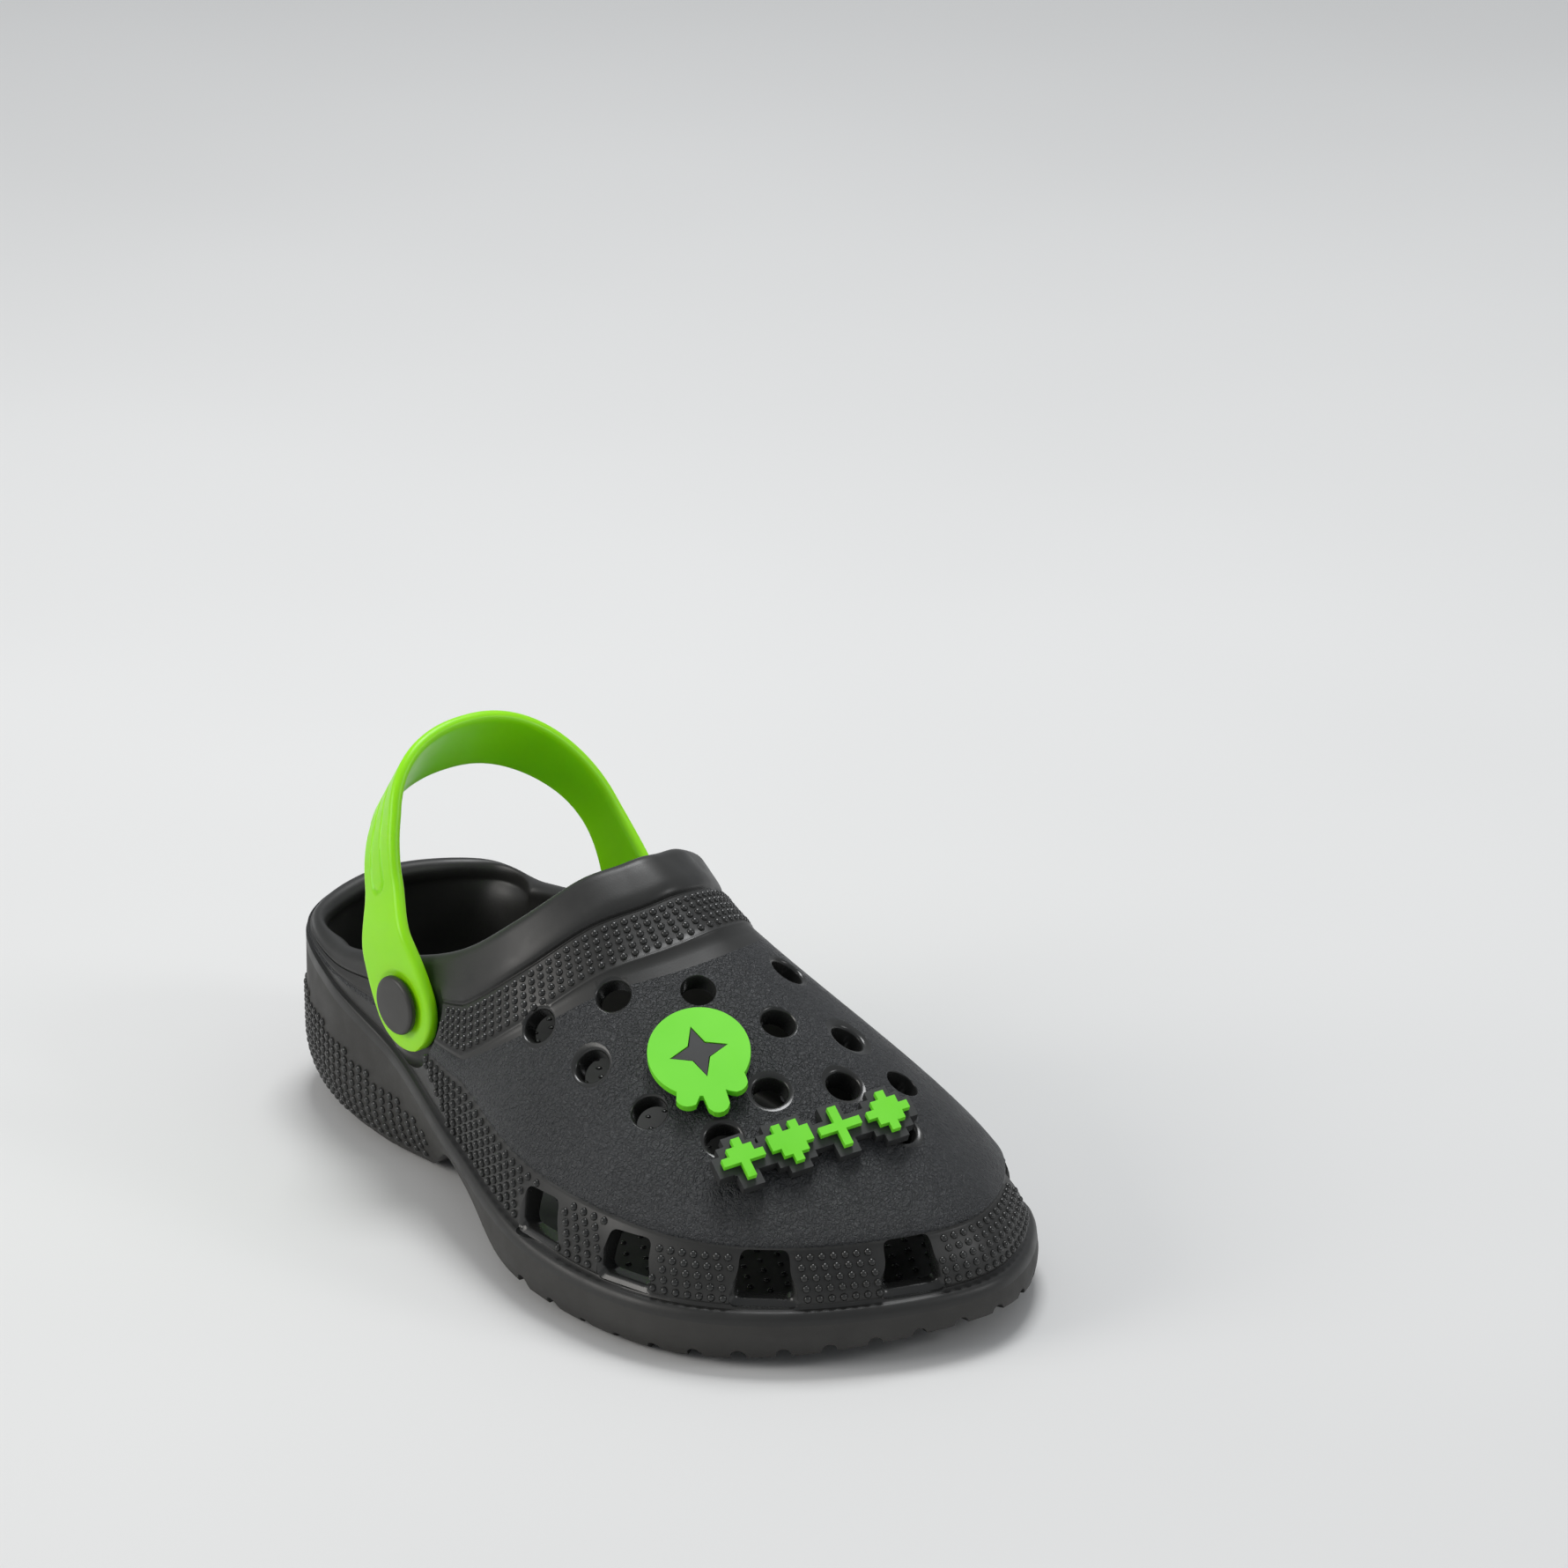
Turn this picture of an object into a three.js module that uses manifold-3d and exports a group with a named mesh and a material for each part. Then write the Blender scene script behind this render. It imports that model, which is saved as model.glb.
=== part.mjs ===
// Rubber garden clog for a right foot, with a pivoting heel strap and two push-in charms.
// Millimetres, +Z up, toe towards +X, wearer's inner side towards +Y, sole on z = 0.
import * as THREE from "three";
import { mergeVertices } from "three/addons/utils/BufferGeometryUtils.js";
import Module from "manifold-3d";

const wasm = await Module();
wasm.setup();

// ---- Driving dimensions --------------------------------------------------------------------

// Stations round the foot, from the heel's back over the inner side to the toe and home again.
// Each has the sole's widest outline (x, y), the height of the lip above the floor,
// and the point (x, y, z) that the top rim passes through. x runs from the heel's back.
const STATIONS = [
  [0, 0, 44, 6, 0, 51],
  [11, 27, 44, 14, 26, 49],
  [38, 34.6, 40, 38, 32, 48],
  [70, 34.5, 32, 67, 30, 55],
  [102, 37, 24, 92, 29, 66],
  [136, 42, 18, 107, 28, 79],
  [172, 50, 15.5, 115, 16, 88],
  [210, 50, 15.5, 119, 6, 91],
  [235, 18, 16, 120, 0, 92],
  [222, -25, 15.5, 119, -6, 91],
  [192, -53, 15, 115, -16, 88],
  [150, -60, 16.5, 107, -29, 78],
  [108, -52, 24, 92, -36, 66],
  [70, -42, 32, 67, -37.3, 55.5],
  [38, -39, 40, 38, -36, 48],
  [11, -27, 44, 14, -26, 49],
];
const TOE_STATION = 8;
const COLUMNS = 80;
const CLOG_LENGTH = 235;

const LIP_LOW = 15;
const LIP_HIGH = 44;
const LEDGE_FRONT = 3;
const LEDGE_HEEL = 1.2;
const RIM_THICKNESS = 6;
const RIM_SETBACK = 2;
const WALL = 5;
const FOOTBED_HEEL = 21;
const FOOTBED_TOE = 12;
const FOOTBED_FALL_START = 95;
const FOOTBED_FALL_LENGTH = 75;

const BAND_HEIGHT_SIDE = 17;
const BAND_HEIGHT_TOE = 14;
const BAND_STEP = 0.7;
const GROOVE_FROM_RIM = 10.8;
const GROOVE_DEPTH = 0.8;
const FULL_LENGTH = 60;
const UPPER_STEPS = 5;
const INNER_STEPS = 7;

const VENT_RADIUS = 4.2;
const DISC_VENT = [166, -19];
const BAR_VENTS = [
  [197, -11],
  [203, 13],
];
const VENTS = [
  [127, -38],
  [140, -25],
  [153, -9],
  [154, 18],
  [147, -37],
  [169, 3],
  [176, 19],
  [167, -35],
  [182, -10],
  [184, -26],
  [189, 7],
  [191, 24],
  DISC_VENT,
  ...BAR_VENTS,
];

const WINDOW_WIDTH = 14;
const WINDOW_HEIGHT = 11.2;
const WINDOW_SILL = 1.9;
const WINDOWS_OUTER_X = [149, 179, 212];
const WINDOWS_INNER_X = [137, 176, 211];
const WINDOW_TOE_Y = -5;

const TREAD_PITCH = 11;
const TREAD_WIDTH = 3;
const TREAD_DEPTH = 2.4;
const TREAD_REACH = 14;
const WAIST_START = 70;
const WAIST_TOP = 100;
const WAIST_END = 175;
const WAIST_RISE = 15.5;
const WAIST_FALL_POWER = 1.35;
// The edge notches stop short of the waist: behind the first x and beyond the second.
const NOTCHES_HEEL_END = 62;
const NOTCHES_FORE_START = 140;
const TOE_SPRING = 8;
const TOE_SPRING_START = 168;
const HEEL_BEVEL = 4;

const PIVOT_X = 75;
const PIVOT_Z = 48;
const SEAT_OUTER_Y = -39;
const SEAT_INNER_Y = 32.6;
const SEAT_RADIUS = 12.6;
const SEAT_WALL = 6.5;
const GAP = 0.3;

const STRAP_THICKNESS = 3.4;
const STRAP_END_WIDTH = 25;
const STRAP_ARM_WIDTH = 16;
const STRAP_TOP_WIDTH = 19;
const STRAP_REACH = 60.7;
const STRAP_STRAIGHT = 13.5;
const STRAP_LEAN_DEG = 29.5;
const STRAP_HOLE_RADIUS = 3.2;
// How far each arm leans towards the middle above its pivot.
const STRAP_INNER_LEAN = 3.2;
const STRAP_LEAN_START = 35;
const STRAP_LEAN_FULL = 66;
const STRAP_OUTER_LEAN = 3;
const STRAP_OUTER_START = 14;
const STRAP_ARCH_POWER = 0.89;
// The band tilts towards the top, so that its front edge flares outward.
const STRAP_TILT_DEG = 33;
const STRAP_TILT_START = 20;
const STRAP_TILT_POWER = 2.2;
// Steps up a straight arm from its tip, in tip radii.
const ARM_STEPS = [0, 0.12, 0.3, 0.6, 1, 1.5, 2];
const ARCH_STEPS = 28;

const RIVET_HEAD_RADIUS = 7.6;
const RIVET_HEAD_HEIGHT = 2;
const RIVET_SHANK_RADIUS = 2.9;
const WASHER_RADIUS = 5;
const WASHER_HEIGHT = 1.6;

const DISC_RADIUS = 12.4;
const DISC_BASE_HEIGHT = 1.2;
const DISC_FACE_HEIGHT = 2.2;
const STEM_RADIUS = 2.2;
const STEM_HEAD_RADIUS = 4.8;

const BAR_CENTRE = [197, -9];
const BAR_DIRECTION = [8, 49];
const TILE = 2.15;
const GLYPH_GAP = 1.9;
const GLYPH_HEIGHT = 1.6;
const BAR_BASE_HEIGHT = 2.8;
const BAR_MARGIN = 1.7;

const CHARCOAL = 0x323436;
const DARK_RUBBER = 0x2b2d2e;
const GREEN = 0x7ecb1c;
const CHARM_GREEN = 0x69e43c;

// ---- Small helpers -------------------------------------------------------------------------

const lerp = (a, b, t) => a + (b - a) * t;
const clamp01 = (t) => Math.min(1, Math.max(0, t));
const smooth = (t) => clamp01(t) * clamp01(t) * (3 - 2 * clamp01(t));
const vec = (x, y, z) => new THREE.Vector3(x, y, z);

function meshGeometry(points, triangles) {
  const g = new THREE.BufferGeometry();
  g.setAttribute("position", new THREE.Float32BufferAttribute(points.flatMap((p) => [p.x, p.y, p.z]), 3));
  g.setIndex(triangles.flat());
  return g;
}

function solid(geometry) {
  const bare = geometry.index ? geometry.toNonIndexed() : geometry.clone();
  bare.deleteAttribute("normal");
  bare.deleteAttribute("uv");
  const merged = mergeVertices(bare, 1e-4);
  const made = new wasm.Manifold(
    new wasm.Mesh({
      numProp: 3,
      vertProperties: merged.attributes.position.array,
      triVerts: new Uint32Array(merged.index.array),
    }),
  );
  if (made.volume() <= 0) {
    throw new Error("a solid is inside out");
  }
  return made;
}

function geometryOf(manifold) {
  const m = manifold.getMesh();
  const g = new THREE.BufferGeometry();
  const xyz = [];
  for (let i = 0; i < m.vertProperties.length; i += m.numProp) {
    xyz.push(m.vertProperties[i], m.vertProperties[i + 1], m.vertProperties[i + 2]);
  }
  g.setAttribute("position", new THREE.Float32BufferAttribute(xyz, 3));
  g.setIndex(Array.from(m.triVerts));
  const flat = g.toNonIndexed();
  flat.computeVertexNormals();
  return flat;
}

// A closed skin over rings of equal length, with its two end rings closed across the foot.
function ringSkin(rings) {
  const n = rings[0].length;
  const points = rings.flat();
  const triangles = [];
  for (let r = 0; r < rings.length - 1; r++) {
    for (let j = 0; j < n; j++) {
      const k = (j + 1) % n;
      const a = r * n + j;
      const b = r * n + k;
      const c = (r + 1) * n + j;
      const d = (r + 1) * n + k;
      triangles.push([a, c, b], [b, c, d]);
    }
  }
  const last = (rings.length - 1) * n;
  for (let j = 0; j < n / 2; j++) {
    const left = j;
    const leftNext = j + 1;
    const right = (n - j) % n;
    const rightNext = n - j - 1;
    if (left !== right) {
      triangles.push([left, leftNext, right]);
      triangles.push([last + left, last + right, last + leftNext]);
    }
    if (leftNext !== rightNext) {
      triangles.push([leftNext, rightNext, right]);
      triangles.push([last + leftNext, last + right, last + rightNext]);
    }
  }
  return meshGeometry(points, triangles);
}

// ---- The clog's surface --------------------------------------------------------------------

// Closed Catmull-Rom curve through the stations.
function station(u) {
  const n = STATIONS.length;
  const i = Math.floor(u);
  const f = u - i;
  const [a, b, c, d] = [-1, 0, 1, 2].map((o) => STATIONS[(i + o + n) % n]);
  return b.map(
    (_, k) =>
      0.5 *
      (2 * b[k] +
        (c[k] - a[k]) * f +
        (2 * a[k] - 5 * b[k] + 4 * c[k] - d[k]) * f * f +
        (3 * b[k] - a[k] - 3 * c[k] + d[k]) * f * f * f),
  );
}

// Evenly spaced stations along one side of the outline.
function sideStations(from, to, count) {
  const fine = 2000;
  const lengths = [0];
  let before = station(from);
  for (let i = 1; i <= fine; i++) {
    const now = station(lerp(from, to, i / fine));
    lengths.push(lengths[i - 1] + Math.hypot(now[0] - before[0], now[1] - before[1]));
    before = now;
  }
  const found = [];
  let i = 0;
  for (let k = 0; k < count; k++) {
    const want = (lengths[fine] * k) / count;
    while (lengths[i + 1] <= want) {
      i++;
    }
    const part = (want - lengths[i]) / (lengths[i + 1] - lengths[i]);
    found.push(station(lerp(from, to, (i + part) / fine)));
  }
  return found;
}

const bezier = (p, t) =>
  p[0]
    .clone()
    .multiplyScalar((1 - t) ** 3)
    .addScaledVector(p[1], 3 * (1 - t) ** 2 * t)
    .addScaledVector(p[2], 3 * (1 - t) * t * t)
    .addScaledVector(p[3], t ** 3);

const footbedHeight = (x) => lerp(FOOTBED_HEEL, FOOTBED_TOE, smooth((x - FOOTBED_FALL_START) / FOOTBED_FALL_LENGTH));

// One column of the shell: its outward direction and the curves of its outer and inner wall.
function makeColumn(here, before, after) {
  const [x, y, lip, cx, cy, cz] = here;
  const out = vec(after[1] - before[1], before[0] - after[0], 0).normalize().negate();
  const heel = clamp01((lip - LIP_LOW) / (LIP_HIGH - LIP_LOW));
  const ledge = lerp(LEDGE_FRONT, LEDGE_HEEL, heel);
  const edge = vec(x, y, 0);
  const foot = edge.clone().addScaledVector(out, -ledge).setZ(lip + 0.3);
  const inward = vec(cx - foot.x, cy - foot.y, 0);
  const across = inward.length();
  inward.normalize();
  const rise = cz - lip;
  const slope = Math.atan2(rise, across);
  const uphill = inward.clone().multiplyScalar(Math.cos(slope)).setZ(Math.sin(slope));
  const normal = inward.clone().multiplyScalar(-Math.sin(slope)).setZ(Math.cos(slope));
  const handle = 0.4 * Math.hypot(across, rise);
  const lift = lerp(20, 0.4 * rise, heel);
  const rim = vec(cx, cy, cz).addScaledVector(uphill, -RIM_SETBACK);
  const outer = [
    foot,
    foot.clone().addScaledVector(out, 0.6).add(vec(0, 0, lift)),
    rim.clone().addScaledVector(uphill, -handle),
    rim,
  ];
  const floor = footbedHeight(x) + 3;
  const innerFoot = foot.clone().addScaledVector(out, -WALL - 2 * heel).setZ(floor);
  const innerRim = rim.clone().addScaledVector(normal, -RIM_THICKNESS);
  const inner = [
    innerFoot,
    innerFoot.clone().add(vec(0, 0, lip - floor + lift * 0.9 - 2)),
    innerRim.clone().addScaledVector(uphill, -handle * 0.95),
    innerRim,
  ];
  return { x, out, heel, edge, lip, uphill, normal, rim, outer, inner };
}

// Points along the outer wall of a column at set distances from the lip and from the rim.
function outerWall(column) {
  const fine = 40;
  const track = [];
  const lengths = [0];
  for (let i = 0; i <= fine; i++) {
    track.push(bezier(column.outer, i / fine));
    if (i > 0) {
      lengths.push(lengths[i - 1] + track[i].distanceTo(track[i - 1]));
    }
  }
  const total = lengths[fine];
  const scale = Math.min(1, total / FULL_LENGTH);
  const relief = smooth((total - 18) / 30);
  const band = lerp(BAND_HEIGHT_SIDE, BAND_HEIGHT_TOE, smooth((column.x - 165) / 60));
  const stepAt = (band + 1) * scale;
  const grooveAt = total - (GROOVE_FROM_RIM + 1.4) * scale;
  const wanted = [
    [(band / 2) * scale, 0],
    [band * scale, 0],
    [stepAt, BAND_STEP],
  ];
  for (let i = 1; i <= UPPER_STEPS; i++) {
    wanted.push([lerp(stepAt, grooveAt, i / UPPER_STEPS), BAND_STEP * (1 - i / UPPER_STEPS)]);
  }
  wanted.push([total - GROOVE_FROM_RIM * scale, -GROOVE_DEPTH]);
  wanted.push([total - (GROOVE_FROM_RIM - 1.4) * scale, 0]);
  wanted.push([total - 5 * scale, 0.5]);
  return wanted.map(([s, height]) => {
    let i = 0;
    while (i < fine - 1 && lengths[i + 1] < s) {
      i++;
    }
    const part = (s - lengths[i]) / (lengths[i + 1] - lengths[i]);
    const point = track[i].clone().lerp(track[i + 1], part);
    const along = track[i + 1].clone().sub(track[i]).normalize();
    const side = vec(-along.y, along.x, 0).normalize();
    const away = along.clone().cross(side).normalize();
    if (away.dot(column.normal) + away.dot(column.out) < 0) {
      away.negate();
    }
    return point.addScaledVector(away, height * relief);
  });
}

function columnProfile(column) {
  const { out, heel, edge, lip, uphill, normal, rim } = column;
  const at = (inset, z) => edge.clone().addScaledVector(out, -inset).setZ(z);
  const tuck = lerp(1, 1.5, heel);
  const tall = lerp(1, 1.9, heel);
  const sole = [
    at(7 * tuck, 0),
    at(3.2 * tuck, 1.6 * tall),
    at(0.8 * tuck, 5.5 * tall),
    at(0, 9.5 * tall),
    at(0.4, lip - 2.5),
    at(lerp(1.2, 0.8, heel), lip - 0.4),
    column.outer[0],
  ];
  const half = RIM_THICKNESS / 2;
  const roll = [0, 45, 90, 135, 180].map((degrees) => {
    const a = THREE.MathUtils.degToRad(degrees);
    return rim
      .clone()
      .addScaledVector(normal, -half + half * Math.cos(a))
      .addScaledVector(uphill, half * Math.sin(a));
  });
  const inside = [];
  for (let i = 1; i <= INNER_STEPS; i++) {
    inside.push(bezier(column.inner, 1 - i / INNER_STEPS));
  }
  const innerFoot = column.inner[0];
  const bed = innerFoot.clone().addScaledVector(out, -3).setZ(innerFoot.z - 3);
  return [...sole, ...outerWall(column), ...roll, ...inside, bed];
}

const stations = [
  ...sideStations(0, TOE_STATION, COLUMNS / 2),
  ...sideStations(TOE_STATION, STATIONS.length, COLUMNS / 2),
];
const columns = stations.map((s, i) =>
  makeColumn(s, stations.at(i - 1), stations[(i + 1) % COLUMNS]),
);
const profiles = columns.map(columnProfile);
const SOLE_ROWS = 7;
const rings = profiles[0].map((_, r) => profiles.map((p) => p[r]));

// The point and outward normal of the upper straight above or below a place on the plan.
const upperRings = rings.slice(SOLE_ROWS - 1, SOLE_ROWS + 6 + UPPER_STEPS);
function onUpper(x, y) {
  let best = null;
  for (let r = 0; r < upperRings.length - 1; r++) {
    for (let j = 0; j < COLUMNS; j++) {
      const k = (j + 1) % COLUMNS;
      const [a, b, c, d] = [upperRings[r][j], upperRings[r][k], upperRings[r + 1][j], upperRings[r + 1][k]];
      for (const [p, q, s] of [[a, c, b], [b, c, d]]) {
        const area = (q.x - p.x) * (s.y - p.y) - (s.x - p.x) * (q.y - p.y);
        const u = ((x - p.x) * (s.y - p.y) - (s.x - p.x) * (y - p.y)) / area;
        const v = ((q.x - p.x) * (y - p.y) - (x - p.x) * (q.y - p.y)) / area;
        if (Math.abs(area) > 1e-9 && u >= -1e-6 && v >= -1e-6 && u + v <= 1 + 1e-6) {
          const z = p.z + u * (q.z - p.z) + v * (s.z - p.z);
          const normal = q.clone().sub(p).cross(s.clone().sub(p)).normalize();
          if (!best || z > best.point.z) {
            best = { point: vec(x, y, z), normal: normal.z < 0 ? normal.negate() : normal };
          }
        }
      }
    }
  }
  return best;
}

// The same, with the normal averaged over a small circle, so that facets don't tilt it.
function seatOnUpper(x, y, radius) {
  const middle = onUpper(x, y);
  const normal = vec(0, 0, 0);
  for (let i = 0; i < 12; i++) {
    const a = (i / 12) * 2 * Math.PI;
    const nearby = onUpper(x + radius * Math.cos(a), y + radius * Math.sin(a));
    normal.add(nearby ? nearby.normal : middle.normal);
  }
  return { point: middle.point, normal: normal.normalize() };
}

// A turn that takes +Z to a normal and keeps a chosen direction in the plane.
function frameOn(seat, towards) {
  const z = seat.normal;
  const x = towards.clone().addScaledVector(z, -towards.dot(z)).normalize();
  const y = z.clone().cross(x);
  return new THREE.Matrix4().makeBasis(x, y, z).setPosition(seat.point);
}

function cylinderAlongY(x, z, radius, from, to, sides = 32) {
  const g = new THREE.CylinderGeometry(radius, radius, to - from, sides);
  g.translate(x, (from + to) / 2, z);
  return solid(g);
}

// A prism along Y from a closed outline of [x, z] pairs, given anticlockwise.
function prismAlongY(outline, from, to) {
  const shape = new THREE.Shape(outline.map(([x, z]) => new THREE.Vector2(x, z)));
  const g = new THREE.ExtrudeGeometry(shape, { depth: to - from, bevelEnabled: false, steps: 1 });
  g.rotateX(Math.PI / 2);
  g.translate(0, to, 0);
  return solid(g);
}

function addSeats(body) {
  let made = body;
  for (const [face, side] of [[SEAT_OUTER_Y, -1], [SEAT_INNER_Y, 1]]) {
    const inside = face - side * SEAT_WALL;
    const [low, high] = [Math.min(face, inside), Math.max(face, inside)];
    made = made.add(cylinderAlongY(PIVOT_X, PIVOT_Z, SEAT_RADIUS - 3.6, low, high, 28));
    const outward = side > 0 ? [face, face + 12] : [face - 12, face];
    made = made.subtract(cylinderAlongY(PIVOT_X, PIVOT_Z, SEAT_RADIUS + 2.4, ...outward, 32));
    const inward = side > 0 ? [inside - 9, inside] : [inside, inside + 9];
    made = made.subtract(cylinderAlongY(PIVOT_X, PIVOT_Z, WASHER_RADIUS + 0.6, ...inward, 24));
    made = made.subtract(cylinderAlongY(PIVOT_X, PIVOT_Z, STRAP_HOLE_RADIUS, low - 3, high + 3, 20));
  }
  return made;
}

function ventCutter([x, y]) {
  const g = new THREE.CylinderGeometry(VENT_RADIUS, VENT_RADIUS, 18, 16);
  g.rotateX(Math.PI / 2);
  g.applyMatrix4(frameOn(seatOnUpper(x, y, 4), vec(1, 0, 0)));
  return solid(g);
}

// A window with leaning sides and rounded corners, cut square through the side band.
function windowCutter(column) {
  const half = WINDOW_WIDTH / 2;
  const corner = 2;
  const low = column.lip + WINDOW_SILL;
  const high = low + WINDOW_HEIGHT;
  const shape = new THREE.Shape();
  shape.moveTo(-half + corner, low);
  shape.lineTo(half - corner, low);
  shape.quadraticCurveTo(half, low, half - 0.3, low + corner);
  shape.lineTo(half - 1.3, high - corner);
  shape.quadraticCurveTo(half - 1.5, high, half - 1.5 - corner, high);
  shape.lineTo(-half + 1.5 + corner, high);
  shape.quadraticCurveTo(-half + 1.5, high, -half + 1.3, high - corner);
  shape.lineTo(-half + 0.3, low + corner);
  shape.quadraticCurveTo(-half, low, -half + corner, low);
  const g = new THREE.ExtrudeGeometry(shape, { depth: 22, bevelEnabled: false, curveSegments: 3 });
  g.translate(0, 0, -17);
  const sideways = vec(-column.out.y, column.out.x, 0);
  const place = new THREE.Matrix4().makeBasis(sideways, vec(0, 0, 1), column.out);
  g.applyMatrix4(place.setPosition(column.edge));
  return solid(g);
}

function columnNear(test) {
  return columns.reduce((a, b) => (test(b) < test(a) ? b : a));
}

function windowColumns() {
  const found = [];
  for (const x of WINDOWS_OUTER_X) {
    found.push(columnNear((c) => Math.abs(c.edge.x - x) + (c.edge.y > 0 ? 999 : 0)));
  }
  for (const x of WINDOWS_INNER_X) {
    found.push(columnNear((c) => Math.abs(c.edge.x - x) + (c.edge.y < 0 ? 999 : 0)));
  }
  found.push(columnNear((c) => Math.abs(c.edge.y - WINDOW_TOE_Y) + (c.edge.x < 200 ? 999 : 0)));
  return found;
}

// Height of the sole's underside above the floor.
function underside(x) {
  const heel = HEEL_BEVEL * clamp01(1 - x / 20) ** 2;
  const toe = TOE_SPRING * clamp01((x - TOE_SPRING_START) / (CLOG_LENGTH - TOE_SPRING_START)) ** 2;
  const rear = smooth((x - WAIST_START) / (WAIST_TOP - WAIST_START));
  const front = clamp01((WAIST_END - x) / (WAIST_END - WAIST_TOP)) ** WAIST_FALL_POWER;
  return heel + toe + WAIST_RISE * Math.min(rear, front);
}

// The raised waist, the sprung toe and the bevelled heel, as one cutter below the sole.
function soleCutter() {
  const outline = [[-20, -6]];
  for (let x = -20; x < 20; x += 4) {
    outline.push([x, underside(Math.max(0, x))]);
  }
  for (let x = WAIST_START; x <= CLOG_LENGTH; x += 5) {
    outline.push([x, underside(x)]);
  }
  outline.push([260, TOE_SPRING + 4], [260, -6]);
  const lowered = outline.map(([x, z]) => [x, z === 0 ? -0.01 : z]);
  return prismAlongY(lowered.reverse(), -90, 90);
}

// Notches across the sole's edge, in the forefoot and round the heel.
function treadCutters() {
  const cutters = [];
  let travelled = 0;
  let due = 0;
  columns.forEach((column, i) => {
    const next = columns[(i + 1) % COLUMNS];
    const length = column.edge.distanceTo(next.edge);
    while (due < travelled + length) {
      const part = (due - travelled) / length;
      const place = column.edge.clone().lerp(next.edge, part);
      const out = column.out.clone().lerp(next.out, part).normalize();
      if (place.x < NOTCHES_HEEL_END || place.x > NOTCHES_FORE_START) {
        const g = new THREE.BoxGeometry(TREAD_REACH, TREAD_WIDTH, TREAD_DEPTH * 2);
        const turn = new THREE.Matrix4().makeBasis(out, vec(-out.y, out.x, 0), vec(0, 0, 1));
        const centre = place.clone().addScaledVector(out, 1 - TREAD_REACH / 2);
        g.applyMatrix4(turn.setPosition(centre.setZ(underside(centre.x))));
        cutters.push(solid(g));
      }
      due += TREAD_PITCH;
    }
    travelled += length;
  });
  return cutters;
}

// Straight grooves across the middle of the tread.
function crossGrooves() {
  const cutters = [];
  for (const [from, to, half, middle] of [[19, 63, 13, 0], [166, 210, 22, -4]]) {
    for (let x = from; x <= to; x += TREAD_PITCH) {
      const g = new THREE.BoxGeometry(TREAD_WIDTH, half * 2, TREAD_DEPTH * 2);
      g.translate(x, middle, underside(x));
      cutters.push(solid(g));
    }
  }
  return cutters;
}

function clogBody() {
  let body = solid(ringSkin(rings));
  body = addSeats(body);
  for (const place of VENTS) {
    body = body.subtract(ventCutter(place));
  }
  for (const column of windowColumns()) {
    body = body.subtract(windowCutter(column));
  }
  body = body.subtract(soleCutter());
  for (const cutter of [...treadCutters(), ...crossGrooves()]) {
    body = body.subtract(cutter);
  }
  return geometryOf(body);
}

// ---- Heel strap ----------------------------------------------------------------------------

const STRAP_LOW_Y = SEAT_OUTER_Y - GAP - STRAP_THICKNESS / 2;
const STRAP_HIGH_Y = SEAT_INNER_Y + GAP + STRAP_THICKNESS / 2;
const STRAP_MID_Y = (STRAP_LOW_Y + STRAP_HIGH_Y) / 2;
const STRAP_HALF = (STRAP_HIGH_Y - STRAP_LOW_Y) / 2;
const STRAP_ARCH = STRAP_REACH - STRAP_THICKNESS / 2 - STRAP_STRAIGHT;

const innerLean = (z) => STRAP_INNER_LEAN * smooth((z - STRAP_LEAN_START) / (STRAP_LEAN_FULL - STRAP_LEAN_START));
const outerLean = (z) =>
  STRAP_OUTER_LEAN * smooth((z - STRAP_OUTER_START) / 16) * clamp01((STRAP_REACH - z) / 16);
const strapTilt = (z) =>
  THREE.MathUtils.degToRad(STRAP_TILT_DEG) *
  clamp01((z - STRAP_TILT_START) / (STRAP_REACH - STRAP_TILT_START)) ** STRAP_TILT_POWER;

// The strap's middle line in its own plane: y across, z along the reach.
function strapLine() {
  const line = [];
  const tip = STRAP_END_WIDTH / 2;
  for (const t of ARM_STEPS) {
    line.push({ y: -STRAP_HALF + outerLean(-tip + tip * t), z: -tip + tip * t });
  }
  for (let i = 0; i <= ARCH_STEPS; i++) {
    const a = Math.PI * (1 - i / ARCH_STEPS);
    const cos = Math.cos(a);
    const share = Math.sign(cos) * Math.abs(cos) ** STRAP_ARCH_POWER;
    const z = STRAP_STRAIGHT + STRAP_ARCH * Math.sin(a) ** STRAP_ARCH_POWER;
    const lean = outerLean(z) * Math.max(0, -share) - innerLean(z) * Math.max(0, share);
    line.push({ y: STRAP_HALF * share + lean, z });
  }
  for (const t of [...ARM_STEPS].reverse()) {
    line.push({ y: STRAP_HALF - innerLean(-tip + tip * t), z: -tip + tip * t });
  }
  return line;
}

function strapWidth(point) {
  const tip = STRAP_END_WIDTH / 2;
  const z = point.z;
  const taper = smooth((z - 2) / 30);
  const top = smooth((z - 30) / (STRAP_REACH - 34));
  const body = lerp(lerp(STRAP_END_WIDTH, STRAP_ARM_WIDTH, taper), STRAP_TOP_WIDTH, top);
  if (z >= 0) {
    return body;
  }
  return Math.max(3, 2 * Math.sqrt(Math.max(0, tip * tip - z * z)));
}

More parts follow.
